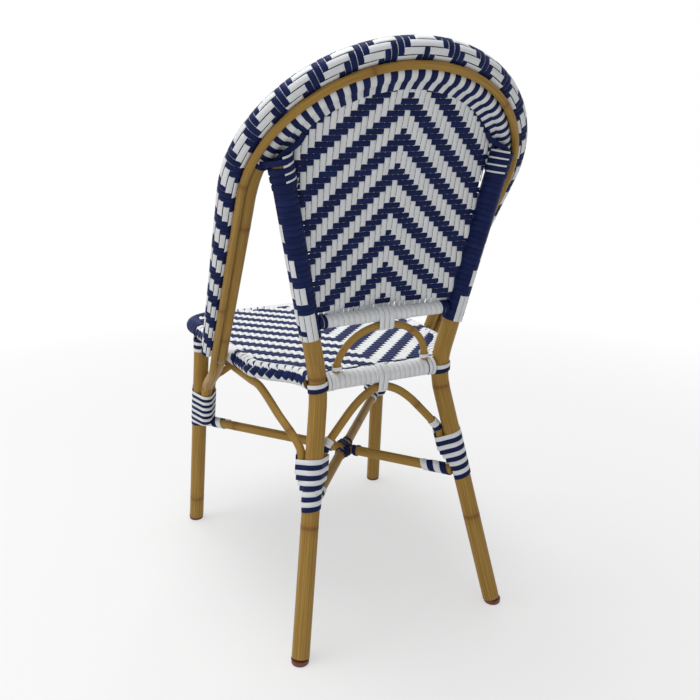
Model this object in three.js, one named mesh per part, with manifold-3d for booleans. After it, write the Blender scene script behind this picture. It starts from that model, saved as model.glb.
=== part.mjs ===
// Rattan bistro chair: bamboo-look tubes, woven seat and back, wound joints.
// Millimetres, +Z up, the front towards -Y, the origin on the floor under the middle of the chair.
import * as THREE from 'three';
import Module from 'manifold-3d';
import { mergeVertices } from 'three/addons/utils/BufferGeometryUtils.js';

const wasm = await Module();
wasm.setup();

// Clearance that every touching pair keeps
const seatGap = 0.3;

// Tube diameters
const legDiameter = 29;
const hoopInnerDiameter = 21.4;
const hoopOuterDiameter = 18;
const hoopTrimDiameter = 11.6;
const seatTubeDiameter = 24;
const backRailDiameter = 16;
const stretcherDiameter = 17.5;
const braceDiameter = 13.4;
const backArchDiameter = 11.4;

// Woven and wound covers
const seatWeaveWall = 2.7;
const postWeaveWall = 2.2;
const stripeWeaveWall = 2.2;
const bandLowerWall = 1.7;
const bandUpperWall = 6.7;
const strandThickness = 2.1;
const strandSpacing = 0.8;
const lashingWidth = 8.2;
const tieWidth = 6;
const tieSlack = 1.1;
const archSlack = 1.5;

// Stance of the legs
const rearFootHalfSpan = 186;
const rearFootSetback = 274;
const frontFootHalfSpan = 216.5;
const frontFootReach = 247;
const frontTopReach = 181;
const footPlugHeight = 8;
const kinkHalfSpan = 107.7;
const kinkSetback = 184.3;
const kinkDrop = 22;
const kinkBend = 42;

// Seat
const seatHeight = 449;
const seatFrontReach = 266;
const seatFrontHalfWidth = 195;
const seatRearHalfWidth = 168.6;
const seatFrontCorner = 46;
const seatRearCorner = 50;
const seatPanelThickness = 5;
const seatPanelDrop = 2;

// Leaning hoop of the back
const hoopLean = THREE.MathUtils.degToRad(32.8);
const hoopStartDrop = 22;
const hoopStartSetback = -3.9;
const hoopHalfWidth = 223;
const hoopStraightLength = 351;
const hoopCrownHeight = 201;
const innerTubeLowInset = 14.3;
const innerTubeTopInset = 16.3;
const innerTubeLowForward = 9.1;
const innerTubeTopForward = 10.6;
const outerTubeLowOffset = 7;
const outerTubeTopOffset = 12.4;
const outerTubeLowForward = 15.7;
const outerTubeTopForward = 18.6;
const hoopEndBow = 10;
const hoopSwellRise = 330;
const junctionRise = 321;
const postLeanShare = 0.783;
const trimStartOffset = 26;
const bandStartOffset = 12;

// Back rail, back panel and the arch between the rails
const backRailRise = 86;
const backRailWoundHalfLength = 100;
const backPanelThickness = 4.6;
const backPanelFoot = 187.4;
const backPanelRake = 0.094;
const backPanelCurl = 2460;
const backPanelRim = 16.4;
const postWrapDrop = 27;
const backArchHalfWidth = 80;

// Wound joints of the legs
const stretcherHeight = 244;
const braceEndRise = 49;
const rearWrapRise = 25;
const frontWrapRise = 21;
const braceSlack = 1.2;
const rearArchTurn = THREE.MathUtils.degToRad(204);
const sideArchRearTurn = THREE.MathUtils.degToRad(-45);
const frontArchTurn = THREE.MathUtils.degToRad(197);
const sideArchFrontTurn = THREE.MathUtils.degToRad(140);
const hoopEndTurn = THREE.MathUtils.degToRad(85);
const sideArchReach = 60;
const frontArchDrop = 45;
const archShares = [[0, 0], [0.15, 0.22], [0.32, 0.45], [0.5, 0.68], [0.7, 0.87], [0.88, 0.97]];
const sideArchShares = [[0, 0], [0.45, 0.55], [0.82, 0.95]];
const kneeSlantShare = 1.04;
const legTopWrapDrop = 3;
const endWrapDistance = 36;

// Weave of the panels: chevrons that stand out from both faces by turns
const strandColumn = 9;
const backStrandRow = 8.4;
const seatStrandRow = 9.08;
const chevronHeight = 1;
const backChevronStart = 44.1;
const seatChevronStart = 36;
const chevronShares = [-1, -0.5, 0, 0.5, 1];

// Counts
const tubeSides = 14;
const thinSides = 10;
const kneeSteps = 6;
const cornerSteps = 4;
const hoopSteps = 34;
const stripeSteps = 24;
const innerTubeSteps = 52;
const searchSteps = 40;
const chevronRows = 3;
const panelRunSteps = 20;
const loopSteps = 10;
const jointTurns = 4;
const lashingTurns = 3;
const tieTurns = 2;
const backRailTurns = 16;
const seatRailTurns = 14;
const archSteps = 18;
const panelRows = 12;
const panelColumns = 10;

// Fasteners
const screwHeadDiameter = 9;
const screwHeadHeight = 2.4;

// Sizes that follow from the ones above
const kinkHeight = seatHeight - kinkDrop;
const hoopStartHeight = seatHeight - hoopStartDrop;
const junctionHeight = seatHeight + junctionRise;
const backRailHeight = seatHeight + backRailRise;
const postWrapStart = backRailHeight - postWrapDrop;
const frontArchApexHeight = seatHeight - frontArchDrop;
const braceEndHeight = stretcherHeight + braceEndRise;
const rearWrapTop = braceEndHeight + rearWrapRise;
const frontWrapTop = braceEndHeight + frontWrapRise;
const legRadius = legDiameter / 2;
const innerRadius = hoopInnerDiameter / 2;
const outerRadius = hoopOuterDiameter / 2;
const trimRadius = hoopTrimDiameter / 2;
const seatTubeRadius = seatTubeDiameter / 2;
const seatSkinRadius = seatTubeRadius + seatGap + seatWeaveWall;
const seatTubeHeight = seatHeight - seatSkinRadius;
const backRailRadius = backRailDiameter / 2;
const stretcherRadius = stretcherDiameter / 2;
const braceRadius = braceDiameter / 2;
const backArchRadius = backArchDiameter / 2;
const postSkinRadius = legRadius + seatGap + postWeaveWall;
const stripeSkinRadius = innerRadius + seatGap + stripeWeaveWall;
const chord = 1 / Math.cos(Math.PI / loopSteps);
const windingFlat = radius => radius + seatGap + strandThickness;
const windingWall = radius => windingFlat(radius) * chord;
const lashedLegRadius = windingWall(legRadius) + seatGap;
const woundSeatRailRadius = windingFlat(seatTubeRadius);
const woundBackRailRadius = windingFlat(backRailRadius);
const rearLegRun = Math.hypot(rearFootHalfSpan - kinkHalfSpan, rearFootSetback - kinkSetback);
const steepestLean = rearLegRun / kinkHeight;
const wrapBottom = stretcherHeight + stretcherRadius + lashedLegRadius * steepestLean + 2 * seatGap;

const v = (x, y, z) => new THREE.Vector3(x, y, z);
const mix = (a, b, share) => a + (b - a) * share;
const along = (a, b, share) => a.clone().lerp(b, share);
const mirrored = (point, side) => v(point.x * side, point.y, point.z);

const navy = { color: 0x1d2f6f, roughness: 0.45 };
const white = { color: 0xe4e6e8, roughness: 0.45 };
const bamboo = { color: 0x9a7438, roughness: 0.4, metalness: 0.1 };
const plugBrown = { color: 0x7a3f2a, roughness: 0.6 };
const steel = { color: 0x8a8378, roughness: 0.35, metalness: 0.9 };

const chair = new THREE.Group();

function add(name, geometry, look) {
  const mesh = new THREE.Mesh(geometry, new THREE.MeshStandardMaterial(look));
  mesh.name = name;
  chair.add(mesh);
  return mesh;
}

// Triangles over a list of points
function skinGeometry(positions, triangles) {
  const geometry = new THREE.BufferGeometry();
  const numbers = positions.flatMap(point => [point.x, point.y, point.z]);
  geometry.setAttribute('position', new THREE.Float32BufferAttribute(numbers, 3));
  geometry.setIndex(triangles);
  const flat = geometry.toNonIndexed();
  flat.computeVertexNormals();
  return flat;
}

function wallTriangles(rows, count, offset, inward) {
  const triangles = [];
  for (let row = 0; row < rows - 1; row += 1) {
    for (let i = 0; i < count; i += 1) {
      const a = offset + row * count + i;
      const b = offset + row * count + (i + 1) % count;
      const faces = [a, b, b + count, a, b + count, a + count];
      triangles.push(...(inward ? faces.reverse() : faces));
    }
  }
  return triangles;
}

// Closed skin over a row of rings, each with the same number of points
function loft(rings) {
  const count = rings[0].length;
  const last = (rings.length - 1) * count;
  const triangles = wallTriangles(rings.length, count, 0, false);
  for (let i = 1; i < count - 1; i += 1) {
    triangles.push(0, i + 1, i);
    triangles.push(last, last + i, last + i + 1);
  }
  return skinGeometry(rings.flat(), triangles);
}

function hollowLoft(outerRings, innerRings) {
  const count = outerRings[0].length;
  const start = outerRings.length * count;
  const last = start - count;
  const triangles = [
    ...wallTriangles(outerRings.length, count, 0, false),
    ...wallTriangles(innerRings.length, count, start, true),
  ];
  for (let i = 0; i < count; i += 1) {
    const next = (i + 1) % count;
    const [i2, next2] = [last + i, last + next];
    triangles.push(i, start + i, start + next, i, start + next, next);
    triangles.push(i2, next2, start + next2, i2, start + next2, start + i2);
  }
  return skinGeometry([...outerRings.flat(), ...innerRings.flat()], triangles);
}

// One ring of a tube: round its centre, square to its direction
function ringAt(centre, direction, radius, sides, guide) {
  const first = guide.clone().addScaledVector(direction, -guide.dot(direction)).normalize();
  const second = direction.clone().cross(first);
  return Array.from({ length: sides }, (_, i) => {
    const angle = 2 * Math.PI * i / sides;
    return centre.clone()
      .addScaledVector(first, radius * Math.cos(angle))
      .addScaledVector(second, radius * Math.sin(angle));
  });
}

// Rings along a list of points; radius is a number or a function of the share of the way
function tubeRings(points, radius, sides, guide) {
  return points.map((point, i) => {
    const before = points[Math.max(i - 1, 0)];
    const after = points[Math.min(i + 1, points.length - 1)];
    const direction = after.clone().sub(before).normalize();
    const size = typeof radius === 'function' ? radius(i / (points.length - 1)) : radius;
    return ringAt(point, direction, size, sides, guide);
  });
}

const tube = (points, radius, sides, guide) => loft(tubeRings(points, radius, sides, guide));

function sleeve(points, innerSize, outerSize, sides, guide) {
  const reach = 1 / Math.cos(Math.PI / sides);
  const inner = typeof innerSize === 'function' ? innerSize : () => innerSize;
  return hollowLoft(
    tubeRings(points, outerSize, sides, guide),
    tubeRings(points, share => inner(share) * reach, sides, guide),
  );
}

// A level cut through a leaning tube, for the ends that stand on the floor or under the seat
function levelRing(centre, radius, sides) {
  return ringAt(centre, v(0, 0, 1), radius, sides, v(1, 0, 0));
}

const smooth = (points, steps) => new THREE.CatmullRomCurve3(points, false, 'centripetal').getPoints(steps);

// Axes of the legs
const rearFoot = side => v(rearFootHalfSpan * side, rearFootSetback, 0);
const kink = side => v(kinkHalfSpan * side, kinkSetback, kinkHeight);
const frontFoot = side => v(frontFootHalfSpan * side, -frontFootReach, 0);
const seatSideSlope = (seatFrontHalfWidth - seatRearHalfWidth)
  / (seatFrontReach - seatFrontCorner + kinkSetback - seatRearCorner);
const seatSideX = y => seatFrontHalfWidth - seatSideSlope * (y + seatFrontReach - seatFrontCorner);
const frontTopHeight = seatTubeHeight - seatSkinRadius - seatGap;
const frontTop = side => v(seatSideX(-frontTopReach) * side, -frontTopReach, frontTopHeight);
const atHeight = (low, high, height) => along(low, high, (height - low.z) / (high.z - low.z));
const rearLegAt = (side, height) => atHeight(rearFoot(side), kink(side), height);
const frontLegAt = (side, height) => atHeight(frontFoot(side), frontTop(side), height);

// The hoop lies in one leaning plane: rise runs up that plane, forward stands square to it
const hoopRise = v(0, Math.sin(hoopLean), Math.cos(hoopLean));
const hoopForward = v(0, -Math.cos(hoopLean), Math.sin(hoopLean));
const hoopOrigin = v(0, hoopStartSetback, hoopStartHeight);

// The hoop's own line after a travel from its left start, over the crown, to the right
const crownLength = Math.PI * Math.sqrt((hoopHalfWidth ** 2 + hoopCrownHeight ** 2) / 2);
const hoopLength = 2 * hoopStraightLength + crownLength;

function hoopFrame(travel) {
  const centre = hoopOrigin.clone();
  const outward = v(0, 0, 0);
  const turned = travel - hoopStraightLength;
  if (turned < 0 || turned > crownLength) {
    const side = turned < 0 ? 1 : -1;
    const climbed = turned < 0 ? travel : hoopLength - travel;
    centre.add(v(hoopHalfWidth * side, 0, 0)).addScaledVector(hoopRise, climbed);
    outward.set(side, 0, 0);
  } else {
    const angle = Math.PI * turned / crownLength;
    centre.add(v(hoopHalfWidth * Math.cos(angle), 0, 0));
    centre.addScaledVector(hoopRise, hoopStraightLength + hoopCrownHeight * Math.sin(angle));
    outward.set(hoopCrownHeight * Math.cos(angle), 0, 0);
    outward.addScaledVector(hoopRise, hoopHalfWidth * Math.sin(angle)).normalize();
  }
  const climb = (centre.z - hoopStartHeight) / hoopSwellRise;
  return { centre, outward, climb: THREE.MathUtils.clamp(climb, 0, 1) };
}

function hoopPoint(travel, out, forward) {
  const { centre, outward, climb } = hoopFrame(travel);
  return centre
    .addScaledVector(outward, mix(out[0], out[1], climb))
    .addScaledVector(hoopForward, mix(forward[0], forward[1], climb));
}

// From one travel to the like place on the other side
const hoopRun = (start, steps, out, forward) => Array.from(
  { length: steps + 1 },
  (_, i) => hoopPoint(mix(start, hoopLength - start, i / steps), out, forward),
);

const innerOut = [-innerTubeLowInset, -innerTubeTopInset];
const innerForward = [innerTubeLowForward, innerTubeTopForward];
const outerOut = [outerTubeLowOffset, outerTubeTopOffset];
const outerForward = [outerTubeLowForward, outerTubeTopForward];

// Travel at which the hoop's inner tube reaches a height on the left side
function travelAtHeight(height) {
  let low = 0;
  let high = hoopLength / 2;
  for (let i = 0; i < searchSteps; i += 1) {
    const middle = (low + high) / 2;
    if (hoopPoint(middle, innerOut, innerForward).z < height) low = middle;
    else high = middle;
  }
  return low;
}

const innerTubeAt = height => hoopPoint(travelAtHeight(height), innerOut, innerForward);

const headAway = v(-Math.sqrt(1 - postLeanShare ** 2), postLeanShare, 0);
const hoopDirection = innerTubeAt(junctionHeight + legRadius)
  .sub(innerTubeAt(junctionHeight - legRadius))
  .normalize();
const headReach = (innerRadius + legRadius + 2 * seatGap) / Math.sqrt(1 - headAway.dot(hoopDirection) ** 2);
const headOffset = headAway.clone().multiplyScalar(headReach);
const postHead = side => mirrored(innerTubeAt(junctionHeight).add(headOffset), side);
const postAt = (side, height) => atHeight(kink(side), postHead(side), height);

// The rounded bend of a rear leg at the seat
function kneeCurve(side) {
  const knee = kink(side);
  const below = knee.clone().add(rearFoot(side).sub(knee).setLength(kinkBend));
  const above = knee.clone().add(postHead(side).sub(knee).setLength(kinkBend));
  return new THREE.QuadraticBezierCurve3(below, knee, above);
}

// The axis of that bend at a height between its ends
function kneeAt(side, height) {
  const curve = kneeCurve(side);
  let low = 0;
  let high = 1;
  for (let i = 0; i < searchSteps; i += 1) {
    const middle = (low + high) / 2;
    if (curve.getPoint(middle).z < height) low = middle;
    else high = middle;
  }
  return curve.getPoint(low);
}

const kneeAxis = kneeAt(1, seatTubeHeight);
const lashingHalfHeight = ((tieTurns + 1) * lashingWidth + tieTurns * strandSpacing) / 2;
const kneeDrift = kneeAt(1, seatTubeHeight + lashingHalfHeight).x - kneeAxis.x;

function makeRearLeg(side, word) {
  const foot = rearLegAt(side, footPlugHeight + seatGap);
  const head = postHead(side);
  const bend = kneeCurve(side).getPoints(kneeSteps);
  const rings = tubeRings([foot, ...bend, head], legRadius, tubeSides, v(1, 0, 0));
  rings[0] = levelRing(foot, legRadius, tubeSides);
  add(`rear_leg_${word}`, loft(rings), bamboo);
}

function makeFrontLeg(side, word) {
  const foot = frontLegAt(side, footPlugHeight + seatGap);
  const rings = [foot, frontTop(side)].map(point => levelRing(point, legRadius, tubeSides));
  add(`front_leg_${word}`, loft(rings), bamboo);
}

function makeFootPlug(centre, name) {
  const ends = [centre, centre.clone().setZ(footPlugHeight)];
  const rings = ends.map(point => levelRing(point, legRadius, tubeSides));
  add(name, loft(rings), plugBrown);
}

// Seat: half of the tube's line, from the rear leg round the corners to the front middle
function seatLine(side, inset) {
  const rearStart = kneeAxis.x + lashedLegRadius + kneeDrift + seatGap;
  const rearRadius = seatRearCorner - inset;
  const frontRadius = seatFrontCorner - inset;
  const rearX = seatRearHalfWidth - seatRearCorner;
  const rearY = kneeAxis.y - seatRearCorner;
  const frontX = seatFrontHalfWidth - seatFrontCorner;
  const frontY = seatFrontCorner - seatFrontReach;
  const first = Math.acos((rearStart - rearX) / seatRearCorner);
  const corner = (x, y, radius, from, to) => Array.from({ length: cornerSteps + 1 }, (_, i) => {
    const angle = mix(from, to, i / cornerSteps);
    return v(side * (x + radius * Math.cos(angle)), y + radius * Math.sin(angle), seatTubeHeight);
  });
  return [
    ...corner(rearX, rearY, rearRadius, first, 0),
    ...corner(frontX, frontY, frontRadius, 0, -Math.PI / 2),
    v(0, -seatFrontReach + inset, seatTubeHeight),
  ];
}

function seatRun(inset) {
  const left = seatLine(1, inset);
  const right = seatLine(-1, inset).slice(0, -1).reverse();
  return [...left, ...right];
}

// The ends of the seat's tube are cut square to the chair where they meet the legs' lashings
function seatRings(radius, sides) {
  const run = seatRun(0);
  const rings = tubeRings(run, radius, sides, v(0, 0, 1));
  for (const i of [0, rings.length - 1]) {
    for (const point of rings[i]) point.x = run[i].x;
  }
  return rings;
}

function makeSeatFrame() {
  add('seat_frame', loft(seatRings(seatTubeRadius, thinSides)), bamboo);
  const reach = 1 / Math.cos(Math.PI / thinSides);
  const inner = seatRings((seatTubeRadius + seatGap) * reach, thinSides);
  add('seat_edge_weave', hollowLoft(seatRings(seatSkinRadius, thinSides), inner), white);
}

// Widths of the round covers at the height of the panel's underside
const panelUnder = seatHeight - seatPanelDrop - seatPanelThickness;
const reachAtPanel = radius => Math.sqrt(radius ** 2 - (panelUnder - seatTubeHeight) ** 2) + seatGap;

function toSolid(geometry) {
  const bare = geometry.clone();
  bare.deleteAttribute('normal');
  bare.deleteAttribute('uv');
  const merged = mergeVertices(bare);
  return new wasm.Manifold(new wasm.Mesh({
    numProp: 3,
    vertProperties: new Float32Array(merged.attributes.position.array),
    triVerts: new Uint32Array(merged.index.array),
  }));
}

function fromSolid(solid) {
  const mesh = solid.getMesh();
  const geometry = new THREE.BufferGeometry();
  geometry.setAttribute('position', new THREE.BufferAttribute(mesh.vertProperties, 3));
  geometry.setIndex(new THREE.BufferAttribute(mesh.triVerts, 1));
  const flat = geometry.toNonIndexed();
  flat.computeVertexNormals();
  return flat;
}

// A prism over one chevron of a weave. The tip of its upper line is at a place that is measured
// along the panel, and lineAt turns such places into places on the drawing
function chevronPrism(tip, row, reach, lineAt) {
  const slope = row / strandColumn;
  const line = start => chevronShares.map(share => (
    new THREE.Vector2(share * reach, lineAt(start - Math.abs(share) * reach * slope))
  ));
  const outline = new THREE.Shape([...line(tip), ...line(tip - chevronRows * row).reverse()]);
  return new THREE.ExtrudeGeometry(outline, { depth: reach, bevelEnabled: false });
}

// Prisms over every second chevron between two places along the panel, in step with one tip
function everySecond(tip, low, high, row, makePrism) {
  const pitch = 2 * chevronRows * row;
  const solids = [];
  for (let place = tip - pitch * Math.ceil((tip - low) / pitch); place < high; place += pitch) {
    solids.push(toSolid(makePrism(place)));
  }
  return wasm.Manifold.union(solids);
}

function makeSeatWeave() {
  const inset = reachAtPanel(seatSkinRadius);
  const rearReach = reachAtPanel(windingWall(woundSeatRailRadius));
  const rim = seatRun(inset);
  for (const point of rim) point.y = Math.min(point.y, kneeAxis.y - rearReach);
  const outline = new THREE.Shape(rim.map(point => new THREE.Vector2(point.x, point.y)));
  const slab = (low, high) => {
    const geometry = new THREE.ExtrudeGeometry(outline, { depth: high - low, bevelEnabled: false });
    return toSolid(geometry.translate(0, 0, panelUnder + low));
  };
  const high = kneeAxis.y + seatFrontHalfWidth * seatStrandRow / strandColumn;
  const chevrons = tip => everySecond(tip, -seatFrontReach, high, seatStrandRow, place => (
    chevronPrism(place, seatStrandRow, seatFrontHalfWidth, y => y)
      .translate(0, 0, panelUnder - seatPanelThickness)
  ));
  const tip = kneeAxis.y - seatChevronStart;
  const top = seatPanelThickness - chevronHeight;
  let solid = slab(chevronHeight, top)
    .add(slab(chevronHeight, seatPanelThickness).intersect(chevrons(tip)))
    .add(slab(0, top).intersect(chevrons(tip - chevronRows * seatStrandRow)));
  for (const side of [1, -1]) {
    const span = [panelUnder - seatPanelThickness, seatHeight + seatPanelThickness];
    const axis = span.map(height => v(kneeAxis.x * side, kneeAxis.y, height));
    const hole = tube(axis, lashedLegRadius + seatPanelThickness, tubeSides, v(1, 0, 0));
    solid = solid.subtract(toSolid(hole));
  }
  add('seat_weave', fromSolid(solid), white);
}

// A strip wound round a bundle of tubes. The bundle is a list of circles in the plane
// square to the axis, which may change along it. The strip is one unbroken helix, whose
// inner edges lie on lines that touch the bundle.
function touchingCorner(angle, step, lines) {
  const [low, high] = lines;
  const first = (low * Math.sin(angle + step) - high * Math.sin(angle)) / Math.sin(step);
  const second = (high * Math.cos(angle) - low * Math.cos(angle + step)) / Math.sin(step);
  return [first, second];
}

function winding(name, look, options) {
  const { start, end, guide, circles, turns, width, lead = width + strandSpacing, phase = 0 } = options;
  const direction = end.clone().sub(start).normalize();
  const first = guide.clone().addScaledVector(direction, -guide.dot(direction)).normalize();
  const second = direction.clone().cross(first);
  const step = 2 * Math.PI / loopSteps;
  const rings = Array.from({ length: turns * loopSteps + 1 }, (_, i) => {
    const height = phase + lead * i / loopSteps + width / 2;
    const bundle = circles(height);
    const support = angle => Math.max(...bundle.map(
      circle => circle.x * Math.cos(angle) + circle.y * Math.sin(angle) + circle.radius + seatGap,
    ));
    const lines = [support(step * i), support(step * (i + 1))];
    const place = (wall, rise) => {
      const corner = touchingCorner(step * i, step, lines.map(line => line + wall));
      return start.clone()
        .addScaledVector(direction, height + rise)
        .addScaledVector(first, corner[0])
        .addScaledVector(second, corner[1]);
    };
    const wall = strandThickness;
    return [place(0, width / 2), place(wall, width / 2), place(wall, -width / 2), place(0, -width / 2)];
  });
  add(name, loft(rings), look);
}

// A single strip round one tube or bundle, centred on a point of it
function lashing(name, look, options) {
  const { centre, axis, turns, width } = options;
  const length = (turns + 1) * width + turns * strandSpacing;
  const start = centre.clone().addScaledVector(axis, -length / 2);
  winding(name, look, { ...options, start, end: start.clone().add(axis) });
}

const round = radius => () => [{ x: 0, y: 0, radius }];

// Two strips, one of each colour, wound side by side up a leg joint
function jointWinding(name, options) {
  const { start, end } = options;
  const pitch = start.distanceTo(end) / (2 * jointTurns + 1);
  const both = { ...options, turns: jointTurns, width: pitch - strandSpacing, lead: 2 * pitch };
  winding(`${name}_navy`, navy, { ...both, phase: 0 });
  winding(`${name}_white`, white, { ...both, phase: pitch });
}

// Where the ends of the braces and of the hoop stand beside the legs inside the joints
const braceOffset = legRadius + braceRadius + braceSlack;
const hoopEndOffset = legRadius + innerRadius + braceSlack;

// A tube that stands beside a leg inside its joint; below its end the winding closes in on the leg
function spotCircle(offset, radius, height) {
  const share = THREE.MathUtils.clamp(height / (braceEndHeight - wrapBottom - lashingWidth), 0, 1);
  return { x: offset.x * share, y: offset.y * share, radius: (radius + braceSlack) * mix(1 / 2, 1, share) };
}

const beside = (turn, distance) => (
  v(Math.cos(turn), Math.sin(turn), 0).multiplyScalar(distance + 2 * seatGap)
);
const rearArchSpot = side => mirrored(beside(rearArchTurn, braceOffset), side);
const sideArchRearSpot = side => mirrored(beside(sideArchRearTurn, braceOffset), side);
const frontArchSpot = side => mirrored(beside(frontArchTurn, braceOffset), side);
const sideArchFrontSpot = side => mirrored(beside(sideArchFrontTurn, braceOffset + braceSlack), side);
const hoopSpot = beside(hoopEndTurn, hoopEndOffset);

function makeRearJoint(side, word) {
  const start = rearLegAt(side, wrapBottom);
  const end = rearLegAt(side, rearWrapTop);
  const circles = height => [
    { x: 0, y: 0, radius: legRadius },
    spotCircle(rearArchSpot(side), braceRadius, height),
    spotCircle(sideArchRearSpot(side), braceRadius, height),
  ];
  jointWinding(`rear_joint_wrap_${word}`, { start, end, guide: v(1, 0, 0), circles });
}

function makeFrontJoint(side, word) {
  const start = frontLegAt(side, wrapBottom);
  const end = frontLegAt(side, frontWrapTop);
  const circles = height => [
    { x: 0, y: 0, radius: legRadius },
    spotCircle(hoopSpot, innerRadius, height),
    spotCircle(sideArchFrontSpot(side), braceRadius, height),
    spotCircle(frontArchSpot(side), braceRadius, height),
  ];
  jointWinding(`front_joint_wrap_${word}`, { start, end, guide: v(1, 0, 0), circles });
}

// Hoop of the back: an inner and an outer tube, and a thin trim tube in the groove behind them
function makeHoop() {
  const ends = [1, -1].map(side => {
    const top = frontLegAt(side, frontWrapTop + braceRadius).add(hoopSpot);
    const low = frontLegAt(side, braceEndHeight).add(hoopSpot);
    const joint = mirrored(hoopPoint(0, innerOut, innerForward), side);
    const bow = along(joint, top, 1 / 2).addScaledVector(hoopForward, -hoopEndBow);
    return [low, top, bow];
  });
  const run = [...ends[0], ...hoopRun(0, hoopSteps, innerOut, innerForward), ...ends[1].reverse()];
  const line = smooth(run, innerTubeSteps);
  add('hoop_inner_tube', tube(line, innerRadius, tubeSides, hoopForward), bamboo);
  const trim = hoopRun(-trimStartOffset, hoopSteps, [0, 0], [0, 0]);
  add('hoop_trim_tube', tube(trim, trimRadius, thinSides, hoopForward), bamboo);
  const outer = hoopRun(bandStartOffset, hoopSteps, outerOut, outerForward);
  add('hoop_outer_tube', tube(outer, outerRadius, thinSides, hoopForward), bamboo);
  const skin = share => {
    const { climb } = hoopFrame(mix(bandStartOffset, hoopLength - bandStartOffset, share));
    return outerRadius + seatGap + mix(bandLowerWall, bandUpperWall, climb);
  };
  add('hoop_band_weave', sleeve(outer, outerRadius + seatGap, skin, thinSides, hoopForward), white);
}

// Narrow stripes round the inner tube of the hoop, above the heads of the posts
const junctionLength = (tieTurns + 1) * (lashingWidth + strandSpacing);

function makeStripes() {
  const start = travelAtHeight(junctionHeight) + legDiameter;
  const run = hoopRun(start, stripeSteps, innerOut, innerForward);
  const skin = sleeve(run, innerRadius + 2 * seatGap, stripeSkinRadius, thinSides, hoopForward);
  add('hoop_stripe_weave', skin, navy);
}

// The place on a post's axis where the lashing round its head starts
function junctionStart(side) {
  const head = postHead(side);
  const down = kink(side).sub(head).normalize();
  return head.addScaledVector(down, junctionLength + legRadius);
}

// A blue lashing round the head of each post, just under the hoop
function makeJunction(side, word) {
  winding(`junction_lashing_${word}`, navy, {
    start: junctionStart(side),
    end: postHead(side),
    guide: v(1, 0, 0),
    circles: round(legRadius),
    turns: tieTurns,
    width: lashingWidth,
  });
}

function makePostWrap(side, word) {
  const top = junctionStart(side).z - strandSpacing;
  const points = [postWrapStart, top].map(height => postAt(side, height));
  add(`post_weave_${word}`, sleeve(points, legRadius + seatGap, postSkinRadius, tubeSides, v(1, 0, 0)), navy);
}

// A bar between two leaning posts, its ends cut to their lean
function makeBackRail() {
  const centre = v(0, postAt(1, backRailHeight).y, backRailHeight);
  const rings = [-1, 1].map(side => {
    const ring = ringAt(centre, v(1, 0, 0), backRailRadius, tubeSides, v(0, 0, 1));
    return ring.map(point => point.setX(side * (postAt(1, point.z).x - postSkinRadius - 2 * seatGap)));
  });
  add('back_rail', loft(rings), bamboo);
  const ends = [-1, 1].map(side => centre.clone().setX(side * backRailWoundHalfLength));
  const lead = 2 * backRailWoundHalfLength / (backRailTurns + 1);
  winding('back_rail_wrap', white, {
    start: ends[0],
    end: ends[1],
    guide: v(0, 0, 1),
    circles: round(backRailRadius),
    turns: backRailTurns,
    width: lead - strandSpacing,
  });
}

function makeSeatRail() {
  const half = kneeAxis.x - lashedLegRadius - seatGap;
  const ends = [-1, 1].map(side => v(half * side, kneeAxis.y, seatTubeHeight));
  add('seat_rear_rail', tube(ends, seatTubeRadius, tubeSides, v(0, 0, 1)), bamboo);
  const lead = 2 * half / (seatRailTurns + 1);
  winding('seat_rear_rail_wrap', white, {
    start: ends[0],
    end: ends[1],
    guide: v(0, 0, 1),
    circles: round(seatTubeRadius),
    turns: seatRailTurns,
    width: lead - strandSpacing,
  });
}

// Back panel: its foot on the rail, its sides along the posts, its head under the hoop
const panelFootHeight = backRailHeight + windingFlat(woundBackRailRadius) + seatGap;
const panelMiddle = height => {
  const climb = height - panelFootHeight;
  return backPanelFoot + backPanelRake * climb + climb * climb / backPanelCurl;
};
const panelSideX = height => postAt(1, height).x - postSkinRadius - 2 * seatGap;

function panelPoint(across, up) {
  const cornerTravel = travelAtHeight(junctionHeight) + stripeSkinRadius;
  const travel = mix(hoopLength / 2, cornerTravel, Math.abs(across));
  const { outward } = hoopFrame(travel);
  const rim = hoopPoint(travel, innerOut, innerForward).addScaledVector(outward, -backPanelRim);
  const side = Math.sign(across);
  const headX = Math.min(rim.x, panelSideX(rim.z)) * side;
  const x = mix(panelSideX(panelFootHeight) * across, headX, up);
  const z = mix(panelFootHeight, rim.z, up);
  const bow = height => mix(panelMiddle(height), postAt(1, height).y, across * across);
  const y = bow(z) + (rim.y - bow(rim.z)) * up ** 4;
  return v(x, y, z);
}

function panelSlab(front, back) {
  const grid = shift => Array.from({ length: panelRows + 1 }, (_, row) => Array.from(
    { length: panelColumns + 1 },
    (_, column) => panelPoint(1 - 2 * column / panelColumns, row / panelRows).add(v(0, shift, 0)),
  ));
  return toSolid(slabGeometry(grid(back), grid(front)));
}

// Height that the leaning panel reaches after a run up from its foot
function heightAtRun(run) {
  let climb = 0;
  for (let i = 0; i < panelRunSteps; i += 1) {
    const slope = backPanelRake + 2 * climb / backPanelCurl;
    climb += run / panelRunSteps / Math.hypot(1, slope);
  }
  return panelFootHeight + climb;
}

function makeBackWeave() {
  const face = backPanelThickness / 2;
  const core = face - chevronHeight;
  const high = hoopLength / 2 + hoopHalfWidth * backStrandRow / strandColumn;
  const chevrons = tip => everySecond(tip, 0, high, backStrandRow, place => (
    chevronPrism(place, backStrandRow, hoopHalfWidth, heightAtRun)
      .rotateX(Math.PI / 2)
      .translate(0, backPanelFoot + hoopHalfWidth / 2, 0)
  ));
  const solid = panelSlab(-core, core)
    .add(panelSlab(-core, face).intersect(chevrons(backChevronStart)))
    .add(panelSlab(-face, core).intersect(chevrons(backChevronStart - chevronRows * backStrandRow)));
  add('back_weave', fromSolid(solid), white);
}

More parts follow.
